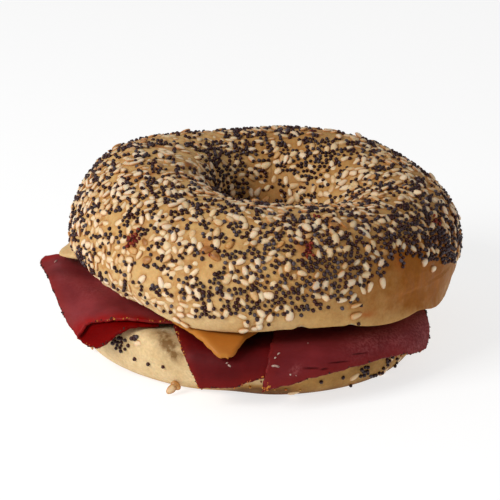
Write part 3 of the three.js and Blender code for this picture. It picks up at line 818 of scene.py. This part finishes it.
def draw_on_top(rng, tries):
    """Even draws over the top half's crust, as angles, section marks, places and normals."""
    angle = rng.random(tries) * TAU
    marks = np.linspace(-1, 2.6, 400)
    r, z = top_section(np.zeros_like(marks), marks)
    step = np.hypot(np.diff(r), np.diff(z)) * (r[1:] + r[:-1]) / 2
    total = np.concatenate([[0], np.cumsum(step)])
    t = np.interp(rng.random(tries), total / total[-1], marks)
    return (angle, t, *top_place(angle, t))


def draw_on_bottom(rng):
    """Places and normals of draws over the bottom half's side that no slice covers."""
    angle = at_turn(rng.uniform(64, 300, BOTTOM_TRIES))
    return bottom_place(angle, rng.uniform(0.32, 1.7, BOTTOM_TRIES))


def sesame_scales(count, rng):
    size = rng.normal(1, 0.07, (count, 1)).clip(0.82, 1.18)
    return size * SESAME * rng.normal(1, (0.04, 0.07, 0.06), (count, 3))


def poppy_scales(count, rng):
    return POPPY * rng.normal(1, 0.08, (count, 1)).clip(0.78, 1.2)


def scatter_balls(name, places, up, scales, tip, material, rng, node=None):
    frames = lying_frames(up, rng, tip)
    scatter(name, ball_shape(), places, frames, scales, material, rng.random(len(places)), node)


def strewn(points):
    """The share under poppy seeds and the sesame seeds per square mm at each point of the top half."""
    _, _, marks, _, *shares = placed(top_place, STREWN)
    away = (points ** 2).sum(1)[:, None] + (marks ** 2).sum(1) - 2 * points @ marks.T
    weight = np.exp(-away / STREWN_REACH ** 2 / 2)
    total = weight.sum(1) + STREWN_EDGE
    return [(weight @ share + STREWN_EDGE * base) / total for share, base in zip(shares, STREWN_BASE)]


def flake_places():
    return placed(top_place, FLAKES)[2]


def lay_sesame(rng):
    """Places, axes and tones of the top half's sesame seeds, before its tilt."""
    angle, t, p, n = draw_on_top(rng, SESAME_TRIES)
    turn = from_front(angle)
    density = strewn(p)[1] * mix(0.65, 1.4, smooth(noise(p, 5, 21), -0.3, 0.3))
    made_up = np.exp(CROWDING * density.clip(0, DENSEST) ** 2)
    weight = top_cover(angle, t) * density * made_up * TOP_AREA / SESAME_TRIES
    own_angle, own_t, own_p, own_n, way, own_tone = placed(top_place, PLACED_SEEDS)
    own_frames = turned_frames(top_surface, own_angle, own_t, own_n, way)
    taken = [(own_p, SESAME_TO_PLACED), (flake_places(), SESAME_TO_FLAKE)]
    chosen = spread_out(p, weight, SESAME_COUNT, SESAME_GAP, rng, taken)
    lying, m = p[chosen], n[chosen]
    # seeds darken towards the right as painted shade; the random and noisy darkening is toasting
    toast_and_shade = 0.12 * smooth(turn[chosen], 0, 70) + 0.35 * (rng.random(len(chosen)) > 0.88)
    toast_and_shade += 0.2 * smooth(noise(lying, 9, 22), -0.1, 0.4)
    tone = (rng.random(len(chosen)) ** 1.5 * 0.5 + toast_and_shade).clip(0, 1)
    low_front = hump(turn, -75, -50, 0, 25) * (1 - smooth(t, 0.3, 0.55))
    far_left = (1 - smooth(turn, -75, -50)) * smooth(turn, -180, -150) * smooth(t, 0.5, 0.8)
    buried = rng.random(len(chosen)) < 0.2 + 0.4 * (low_front + far_left)[chosen]
    tone = np.where(buried, tone.clip(0.35, 0.62), tone)
    lift = np.where(buried, rng.uniform(*BURIED_LIFT, len(m)), rng.uniform(*LYING_LIFT, len(m)))
    loose = spread_out(p, top_cover(angle, t - 0.05) * density, LOOSE_COUNT, LOOSE_GAP, rng)
    places = np.concatenate([lying + m * lift[:, None], p[loose] + n[loose] * LOOSE_LIFT,
                             own_p + own_n * PLACED_LIFT])
    frames = np.concatenate([lying_frames(m, rng), lying_frames(n[loose], rng, 0.3), own_frames])
    return places, frames, np.concatenate([tone, rng.random(len(loose)) * 0.3, own_tone])


def build_top_poppies(poppy, rng, sesame_places):
    angle, t, q, n = draw_on_top(rng, POPPY_TRIES)
    clusters = noise(q, 3.4, 31) + 0.8 * noise(q, 1.7, 32)
    rank = np.argsort(np.argsort(clusters)) / POPPY_TRIES
    share = strewn(q)[0]
    single = 0.2 * share * TOP_AREA / POPPY_TRIES
    packed = 0.8 * smooth(1.08 * share / PACKED - rank, -0.04, 0.04)
    left_edge = 0.3 * hump(from_front(angle), -92, -80, -30, -20)
    weight = top_cover(angle, t - 0.02 - left_edge) * (packed + single)
    _, _, lip_q, lip_m = placed(top_place, LIP_POPPIES)
    taken = [(sesame_places, POPPY_TO_SESAME), (flake_places(), POPPY_TO_FLAKE)]
    chosen = spread_out(q, weight, POPPY_COUNT - len(lip_q), POPPY_GAP, rng, taken)
    places = np.concatenate([q[chosen] + n[chosen] * POPPY_LIFT, lip_q + lip_m * LIP_POPPY_LIFT])
    up = np.concatenate([n[chosen], lip_m])
    scatter_balls("top_poppy", places, up, poppy_scales(len(places), rng), POPPY_TIP, poppy, rng, "top_bun")


def build_flakes(flake):
    rng = np.random.default_rng(51)
    places, up = [], []
    _, _, middles, normal, *_ = placed(top_place, FLAKES)
    for middle, n, (*_, spread, count) in zip(middles, normal, FLAKES):
        axes = lying_frames(n[None], rng, 0)[0]
        shift = rng.normal(size=(count, 3)) * spread * (1, 0.7, 0.12) + (0, 0, 0.25)
        places.append(middle + shift @ axes.T)
        up.append(np.repeat(n[None], count, 0))
    places, up = np.concatenate(places), np.concatenate(up)
    scales = rng.uniform(0.8, 1.7, (len(places), 3)) * (1.0, 0.8, 0.4)
    scatter_balls("top_flakes", places, up, scales, 0.5, flake, rng, "top_bun")


def build_bottom_sesame(sesame, rng):
    angle, t, p, n, way = placed(bottom_place, BOTTOM_SESAME)
    q, m = draw_on_bottom(rng)
    chosen = spread_out(q, np.full(len(q), 0.3), BOTTOM_SESAME_COUNT, BOTTOM_SESAME_GAP, rng)
    stuck, ways = table_columns(STUCK)
    stuck_x = unit(ways)
    stuck_y = unit(np.cross((0, -1, 0.3), stuck_x))
    stuck_frames = np.stack([stuck_x, stuck_y, np.cross(stuck_x, stuck_y)], -1)
    places = np.concatenate([p - n * 0.18, stuck, q[chosen] + m[chosen] * 0.15])
    frames = np.concatenate([turned_frames(bottom_surface, angle, t, n, way), stuck_frames,
                             lying_frames(m[chosen], rng)])
    tone = np.concatenate([rng.uniform(0.3, 0.55, len(p)), (0.5, 0.85), rng.random(len(chosen)) * 0.6])
    scatter("bottom_sesame", sesame_shape(), places, frames, sesame_scales(len(places), rng), sesame,
            tone, "bottom_bun")


def build_bottom_poppies(poppy, rng):
    singles = list(BOTTOM_POPPIES)
    for turn, t, wide, high, count in POPPY_CLUSTERS:
        tries = rng.normal((turn, t), (wide / 2, high / 2), (count * 6, 2))
        _, _, p, _ = placed(bottom_place, tries)
        singles += list(tries[spread_out(p, np.ones(len(tries)), count, POPPY_GAP * 0.95, rng)])
    _, _, p, n = placed(bottom_place, singles)
    q, m = draw_on_bottom(rng)
    clumps = smooth(noise(q, 8, 61), 0.0, 0.4)
    chosen = spread_out(q, 0.03 + 0.6 * clumps, BOTTOM_POPPY_COUNT, BOTTOM_POPPY_GAP, rng)
    up = np.concatenate([n, m[chosen]])
    places = np.concatenate([p, q[chosen]]) + up * BOTTOM_POPPY_LIFT
    scatter_balls("bottom_poppy", places, up, poppy_scales(len(places), rng), POPPY_TIP, poppy, rng,
                  "bottom_bun")


# Slices

class Sheet:
    """A slice draped over the bottom half. Its four sides are flat points: front and back run left
    to right, right and left run front to back. u goes from 0 at the left to 1 at the right, v from
    0 at the front to 1 at the back."""

    def __init__(self, level, thickness, front, right, back, left, ripple=0.12, blunt=0.0):
        self.level, self.thickness, self.ripple, self.blunt = level, thickness, ripple, blunt
        self.front, self.right, self.back, self.left = [Curve(k) for k in (front, right, back, left)]
        self.corners = [np.array(k, float) for k in (front[0], front[-1], back[0], back[-1])]
        self.width = (self.front.length + self.back.length) / 2
        self.depth = (self.left.length + self.right.length) / 2

    def flat(self, u, v):
        a, b = u[..., None], v[..., None]
        front_left, front_right, back_left, back_right = self.corners
        across = mix(self.front(u), self.back(u), b)
        along = mix(self.left(v), self.right(v), a)
        point = across + along - mix(mix(front_left, front_right, a), mix(back_left, back_right, a), b)
        if self.blunt:
            pull = self.blunt * np.exp(-((u * self.width) ** 2 + (v * self.depth) ** 2) / self.blunt ** 2)
            point = point + pull[..., None] * unit(back_right - front_left)
        return point

    def rim(self, u, v):
        """Distance to the nearest side, along the sheet."""
        return np.minimum(np.minimum(u, 1 - u) * self.width, np.minimum(v, 1 - v) * self.depth)

    def middle(self, u, v):
        """Places and normals of the sheet's middle surface."""
        flat = self.flat(u, v)
        at = np.insert(flat, 2, 0, axis=-1)
        ragged = np.stack([noise(at, 2.2, 41 + k) + 0.5 * noise(at, 0.8, 45 + k) for k in (0, 1)], -1)
        flat = flat + 0.3 * ragged * (1 - smooth(self.rim(u, v), 0, 3))[..., None]
        place, normal = drape(flat[..., 0], flat[..., 1], self.level)
        wave = self.ripple * (noise(place, 6, 43) + 0.3 * noise(place, 2.5, 44))
        return place + normal * wave[..., None], normal

    def marks(self, length, steps, crowding=1.0):
        """Places from 0 to 1 along a side, some close to its ends for the rounded rim. With crowding
        above 1 they lie closer together near 0."""
        ends = np.array((0, 0.08, 0.25, 0.55, 1)) * SHEET_ROUND * self.thickness / length
        inner = mix(ends[-1], 1 - ends[-1], np.linspace(0, 1, steps + 1)[1:-1] ** crowding)
        return np.concatenate([ends, inner, 1 - ends[::-1]])


def crease_depth(sheet, u, v, creases):
    """Short shallow creases, each from one (u, v) to another."""
    size = (sheet.width, sheet.depth)
    p = np.stack([u, v], -1) * size
    depth = np.zeros_like(u)
    for crease in creases:
        a, b = np.array(crease) * size
        along = np.clip((p - a) @ (b - a) / np.dot(b - a, b - a), 0, 1)
        away = np.linalg.norm(p - mix(a, b, along[..., None]), axis=-1)
        fade = np.sin(np.pi * np.clip(along, 0.02, 0.98)) ** 0.5
        depth = np.maximum(depth, fade * (1 - smooth(away, 0.05, 0.34)))
    return depth


def patches(sheet, u, v, table):
    """Soft round patches on a slice, each of a (u, v) place, a radius in mm and a strength."""
    total = np.zeros_like(u)
    for across, along, radius, strength in table:
        away = np.hypot((u - across) * sheet.width, (v - along) * sheet.depth)
        total = np.maximum(total, strength * bell(away, 0, radius))
    return total


def build_sheet(name, sheet, material, steps, creases=(), pale=(), dark=(), red=()):
    u, v = np.meshgrid(sheet.marks(sheet.width, steps[0]), sheet.marks(sheet.depth, *steps[1:]))
    place, normal = sheet.middle(u, v)
    rim = sheet.rim(u, v)
    crease = crease_depth(sheet, u, v, creases)
    inset = 1 - np.clip(rim / (SHEET_ROUND * sheet.thickness), 0, 1)
    half = sheet.thickness / 2 * np.sqrt(1 - inset ** 2)
    upper = place + normal * (half - 0.3 * crease)[..., None]
    lower = place - normal * half[..., None]
    rows, columns = u.shape
    index = np.arange(rows * columns).reshape(rows, columns)
    inner = index[1:-1, 1:-1].ravel()
    below = index.copy()
    below[1:-1, 1:-1] = (rows * columns + np.arange(len(inner))).reshape(rows - 2, columns - 2)
    quads = grid_faces(rows, columns, False)
    faces = np.concatenate([quads[:, ::-1], below.ravel()[quads]])
    points = np.concatenate([upper.reshape(-1, 3), lower.reshape(-1, 3)[inner]])
    # side marks the left edge where the cheese's painted highlight goes
    values = {"edge": 1 - smooth(rim, 0.05, 0.7), "side": 1 - smooth(u * sheet.width, 0.4, 2.4),
              "warm": 1 - smooth(rim, 0, 4), "crease": crease}
    # pale patches carry painted sheen and light, dark patches painted shade
    for key, table in (("pale", pale), ("dark", dark), ("red", red)):
        values[key] = patches(sheet, u, v, table)
    values = {key: np.append(numbers, numbers.ravel()[inner]) for key, numbers in values.items()}
    add_piece(name, points, faces, [material], values, name)


LEFT_UPPER = Sheet(
    LEVEL_2, MEAT,
    left=((-51.1, -33.5), (-53.6, -28.3), (-57.7, -15.6), (-61.2, -3.4), (-60, 0.9)),
    front=((-51.1, -33.5), (-46.6, -32.2), (-40.1, -34.8), (-27.4, -37.6), (-12, -36), (0, -32)),
    right=((0, -32), (1.5, 0), (1, 30)),
    back=((-60, 0.9), (-56.8, -0.1), (-48, -0.8), (-34, 10), (-15, 24), (1, 30)))
LEFT_UNDER = Sheet(
    LEVEL_1, MEAT,
    left=((-51.3, -31.2), (-54, -18), (-56, 0), (-52, 22)),
    front=((-51.3, -31.2), (-47.8, -36.5), (-43.9, -38.7), (-36.6, -38.5), (-26.2, -36.6)),
    right=((-26.2, -36.6), (-30.5, -10), (-33.5, 12), (-34, 30)),
    back=((-52, 22), (-44, 30), (-34, 30)))
MIDDLE = Sheet(
    LEVEL_1, MEAT,
    left=((-16.9, -60), (-18.8, -53.5), (-22.5, -35.5), (-26, -5), (-28, 22), (-27, 50)),
    front=((-16.9, -60), (-7.2, -60.8), (0.2, -58.6), (12, -56)),
    right=((12, -56), (13, -25), (16, 10), (24, 52)),
    back=((-27, 50), (-3, 57.5), (24, 52)))
RIGHT = Sheet(
    LEVEL_2, MEAT,
    left=((1.4, -63.5), (2.6, -56.3), (4.5, -40.6), (7, -10), (8, 34)),
    front=((1.4, -63.5), (12, -59.6), (26, -52), (36.8, -43.9), (45.6, -36.6), (49, -32)),
    right=((49, -32), (48.4, -26.7), (45.6, -16), (40, 0), (34, 36)),
    back=((8, 34), (20, 37), (34, 36)))
CHEESE_SLICE = Sheet(
    LEVEL_3, CHEESE,
    front=((-7.8, -60), (-0.6, -46.4), (10, -30), (28, -6)),
    left=((-7.8, -60), (-19.2, -45.3), (-31, -29), (-44, -14)),
    right=((28, -6), (11, 14), (-8, 34)),
    back=((-44, -14), (-27, 10), (-8, 34)), ripple=0.08, blunt=2.8)

# Spice on the slices: the sheet, where u and v lie, how many grains and their largest size
ORANGE_SPICE = (
    (LEFT_UPPER, (0.14, 0.75), (0.0, 0.012), 40, 0.8), (MIDDLE, (0.0, 0.02), (0.0, 0.2), 34, 0.75),
    (MIDDLE, (0.3, 1.0), (0.0, 0.006), 22, 0.7), (RIGHT, (0.0, 0.04), (0.0, 0.03), 22, 0.9),
    (LEFT_UNDER, (0.0, 0.25), (0.0, 0.02), 10, 0.6), (RIGHT, (0.7, 0.95), (0.0, 0.008), 10, 0.7))
DARK_SPICE = (
    (LEFT_UPPER, (0.0, 0.01), (0.0, 0.9), 42, 0.8), (LEFT_UPPER, (0.1, 0.4), (0.0, 0.02), 10, 0.7),
    (MIDDLE, (0.0, 0.015), (0.0, 0.2), 20, 0.7), (MIDDLE, (0.1, 0.9), (0.0, 0.006), 14, 0.8),
    (RIGHT, (0.985, 1.0), (0.0, 0.3), 30, 1.0), (RIGHT, (0.1, 1.0), (0.0, 0.008), 30, 0.7),
    (LEFT_UNDER, (0.0, 0.7), (0.0, 0.012), 14, 0.7))
# Specks of fat: u, v, length, width and the angle in degrees that they point in
FAT = ((RIGHT, 0.052, 0.099, 1.2, 0.5, 50), (RIGHT, 0.038, 0.088, 0.9, 0.5, 40),
       (RIGHT, 0.036, 0.066, 1.6, 0.7, 10), (RIGHT, 0.05, 0.064, 2.2, 0.8, -5),
       (RIGHT, 0.13, 0.032, 0.6, 0.5, 0), (RIGHT, 0.162, 0.025, 0.5, 0.3, 0),
       (RIGHT, 0.2, 0.12, 0.9, 0.35, 80), (MIDDLE, 0.361, 0.05, 1.2, 0.7, -50),
       (MIDDLE, 0.345, 0.057, 0.8, 0.5, 20), (LEFT_UPPER, 0.07, 0.845, 2.0, 1.0, 70))
FAT_THICKNESS = 0.18
# Creases are pressed in and also painted darker as shade.
CREASES = (((0.19, 0.041), (0.283, 0.026)), ((0.321, 0.035), (0.441, 0.025)),
           ((0.445, 0.045), (0.539, 0.039)), ((0.288, 0.022), (0.33, 0.018)))
# Patches of the slices, as patches() reads them; the flap is the left upper slice. The pale patches are
# painted sheen and painted light, save one small pink speck on the right slice, and the dark patches are
# painted shade.
RIGHT_SHEEN_AND_SPECK = ((0.745, 0.065, 3.2, 0.5), (0.15, 0.042, 1.1, 0.5), (0.95, 0.12, 8, 0.52),
              (0.55, 0.1, 5.5, 0.5), (0.68, 0.09, 5, 0.4), (0.88, 0.04, 4.5, 0.4))
RIGHT_SHADE = ((0.08, 0.125, 7, 0.3), (0.2, 0.1, 5, 0.12))
MIDDLE_SHADE = ((0.56, 0.1, 5, 0.9), (0.6, 0.16, 6, 0.9), (0.58, 0.05, 5, 0.4), (0.3, 0.07, 12, 0.25))
FLAP_SHEEN = ((0.23, 0.41, 7, 0.22), (0.1, 0.55, 5, 0.12))
FLAP_SHADE = ((0.07, 0.64, 5.5, 0.3), (0.09, 0.83, 4, 0.25), (0.2, 0.13, 4, 0.1))
FLAP_RED = ((0.03, 0.02, 4, 1.0), (0.12, 0.0, 3.8, 1.0), (0.2, 0.0, 3.6, 1.0), (0.3, 0.0, 3.2, 1.0),
            (0.4, 0.0, 2.6, 1.0), (0.03, 0.96, 4.6, 1.0))
# Crumbs of spice on the bottom half: turn and t
CRUMBS = ((3, 0.62), (3.6, 0.7), (2.2, 0.55), (4.4, 0.6), (-2.2, 0.56), (13.8, 0.45), (5.5, 0.52),
          (1.2, 0.7), (54, 0.7), (56, 0.6), (-20, 0.12), (9, 0.5))


def grains_on_sheets(table, rng):
    """Places, normals and sizes of grains that lie on the slices."""
    places, ups, sizes = [], [], []
    for sheet, across, along, count, largest in table:
        place, up = sheet.middle(rng.uniform(*across, count), rng.uniform(*along, count))
        places.append(place + up * sheet.thickness * rng.uniform(0.2, 0.55, (count, 1)))
        ups.append(up)
        sizes.append(rng.uniform(0.45, 1, count) * largest)
    return np.concatenate(places), np.concatenate(ups), np.concatenate(sizes)


def build_grains(name, material, places, up, sizes, flatness, rng):
    scales = sizes[:, None] * rng.uniform(0.6, 1, (len(sizes), 3)) * (1.2, 1, flatness)
    scatter_balls(name, places, up, scales, 0.3, material, rng)


def build_spice(orange, dark, fat):
    rng = np.random.default_rng(71)
    places, up, sizes = grains_on_sheets(ORANGE_SPICE, rng)
    _, _, p, n = placed(bottom_place, CRUMBS)
    sizes = np.concatenate([sizes, rng.uniform(0.6, 1.1, len(p))])
    build_grains("orange_spice", orange, np.concatenate([places, p + n * 0.2]), np.concatenate([up, n]),
                 sizes, 0.8, rng)
    build_grains("dark_spice", dark, *grains_on_sheets(DARK_SPICE, rng), 0.9, rng)
    places, frames = [], []
    for sheet, u, v, *_, degrees in FAT:
        place, up = sheet.middle(np.array([u]), np.array([v]))
        places.append(place + up * sheet.thickness / 2)
        along = unit(np.cross((0, 1, 0), up))
        way = math.radians(degrees)
        x = along * math.cos(way) + np.cross(up, along) * math.sin(way)
        frames.append(np.stack([x, np.cross(up, x), up], -1))
    scales = np.array([(length, width, FAT_THICKNESS) for *_, length, width, _ in FAT])
    scatter("fat_specks", ball_shape(), np.concatenate(places), np.concatenate(frames), scales, fat,
            rng.random(len(FAT)))


# Camera and light

ELEVATION = math.radians(20)
DISTANCE = 600
TARGET = (-3.47, 0, 24.97)
PIXELS_PER_MM, IMAGE_WIDTH = 3.55, 500
FOCAL = PIXELS_PER_MM * DISTANCE / IMAGE_WIDTH  # in image widths
SENSOR = 36
SKY_STRENGTH = 0.38
# In metres of the frame
LAMP_PLACE, LAMP_TARGET, LAMP_SIZE, LAMP_POWER = (-0.56, -0.42, 0.47), (0, 0, 0.02), 0.38, 5.1
FLOOR_REACH = 4


def aim(thing, place, direction):
    thing.location = place
    thing.rotation_euler = direction.to_track_quat("-Z", "Y").to_euler()


def build_camera():
    camera = bpy.data.cameras.new("camera")
    camera.sensor_fit = "HORIZONTAL"
    camera.sensor_width = SENSOR
    camera.lens = SENSOR * FOCAL
    camera.clip_start = 0.01
    look = Vector((0, math.cos(ELEVATION), -math.sin(ELEVATION)))
    holder = add_object("camera", camera)
    aim(holder, Vector(to_frame(TARGET)) - look * DISTANCE * MM, look)
    bpy.context.scene.camera = holder


def build_light():
    world = bpy.data.worlds.new("studio")
    world.use_nodes = True
    sky = world.node_tree.nodes["Background"].inputs
    sky["Color"].default_value = (1, 1, 1, 1)
    sky["Strength"].default_value = SKY_STRENGTH
    bpy.context.scene.world = world
    lamp = bpy.data.lights.new("key", "AREA")
    lamp.size = LAMP_SIZE
    lamp.energy = LAMP_POWER
    aim(add_object("key", lamp), LAMP_PLACE, Vector(LAMP_TARGET) - Vector(LAMP_PLACE))


def build_floor():
    corners = [(x * FLOOR_REACH, y * FLOOR_REACH, 0) for x, y in ((-1, -1), (1, -1), (1, 1), (-1, 1))]
    mesh = bpy.data.meshes.new("floor")
    mesh.from_pydata(corners, [], [(0, 1, 2, 3)])
    grey = [0.4, 0.4, 0.4, 1]
    mesh.materials.append(Nodes("floor").finish(grey, 0.8, Emission_Color=(1, 1, 1, 1),
                                                Emission_Strength=0.7))
    floor = add_object("floor", mesh)


# The sandwich

bpy.context.scene.view_settings.view_transform = "Standard"
build_camera()
build_light()
build_floor()

# The last colour of each crust is for its dark spots: scorches on the top half, painted shadow on the
# bottom half.
top_crust = crust_material("top_crust", (216, 185, 134), (202, 160, 100), (147, 86, 16), (168, 90, 34))
bottom_crust = crust_material("bottom_crust", (222, 194, 146), (177, 133, 72), (98, 57, 12), (120, 88, 50))
crumb = crumb_material()
sesame, poppy = sesame_material(), poppy_material()
# The flap's and the right slice's meat are lighter copies of the middle slice's: painted sheen on the flap,
# painted light on the right slice.
flap = meat_material("meat_flap_painted_sheen", (114, 36, 39), (138, 50, 53), (128, 30, 24), (104, 6, 5), 0.12)
meat = meat_material("meat", (86, 8, 10), (108, 19, 22), (120, 20, 15), (72, 8, 6), 0.09)
meat_right_painted_light = meat_material("meat_right_painted_light", (100, 25, 28), (125, 39, 43), (120, 26, 22), (72, 8, 6), 0.09)
red_meat = meat_material("meat_red", (90, 1, 1), (106, 1, 1), (118, 6, 3), (80, 2, 2), 0.03)
cheese = cheese_material()
orange_spice = grain_material("orange_spice", 0.6, (0.0, (206, 150, 60)), (0.5, (186, 100, 36)),
                              (1.0, (130, 44, 18)))
dark_spice = grain_material("dark_spice", 0.6, (0.0, (40, 20, 18)), (0.7, (62, 30, 22)),
                            (1.0, (90, 52, 34)))
flake = grain_material("pepper_flake", 0.5, (0.0, (150, 58, 24)), (0.5, (104, 16, 12)),
                       (1.0, (70, 12, 12)))
fat = grain_material("fat", 0.4, (0.0, (196, 176, 160)), (1.0, (168, 120, 112)))

rng = np.random.default_rng(21)
places, frames, tones = lay_sesame(rng)
along_seeds = [places + shift * frames[:, :, 0] for shift in (-0.6, 0, 0.6)]
build_top(top_crust, crumb, np.concatenate(along_seeds))
build_bottom(bottom_crust, crumb)
scatter("top_sesame", sesame_shape(), places, frames, sesame_scales(len(places), rng), sesame, tones,
        "top_bun")
build_top_poppies(poppy, rng, places)
build_bottom_sesame(sesame, rng)
build_bottom_poppies(poppy, rng)
build_flakes(flake)
build_sheet("slice_left_upper", LEFT_UPPER, flap, (100, 90, 1.3), pale=FLAP_SHEEN,
            dark=FLAP_SHADE, red=FLAP_RED)
build_sheet("slice_left_under", LEFT_UNDER, red_meat, (60, 90, 1.3))
build_sheet("slice_middle", MIDDLE, meat, (80, 160, 1.5), dark=MIDDLE_SHADE)
build_sheet("slice_right", RIGHT, meat_right_painted_light, (130, 140, 1.6), CREASES, RIGHT_SHEEN_AND_SPECK,
            RIGHT_SHADE)
build_sheet("cheese", CHEESE_SLICE, cheese, (90, 90, 1.2))
build_spice(orange_spice, dark_spice, fat)
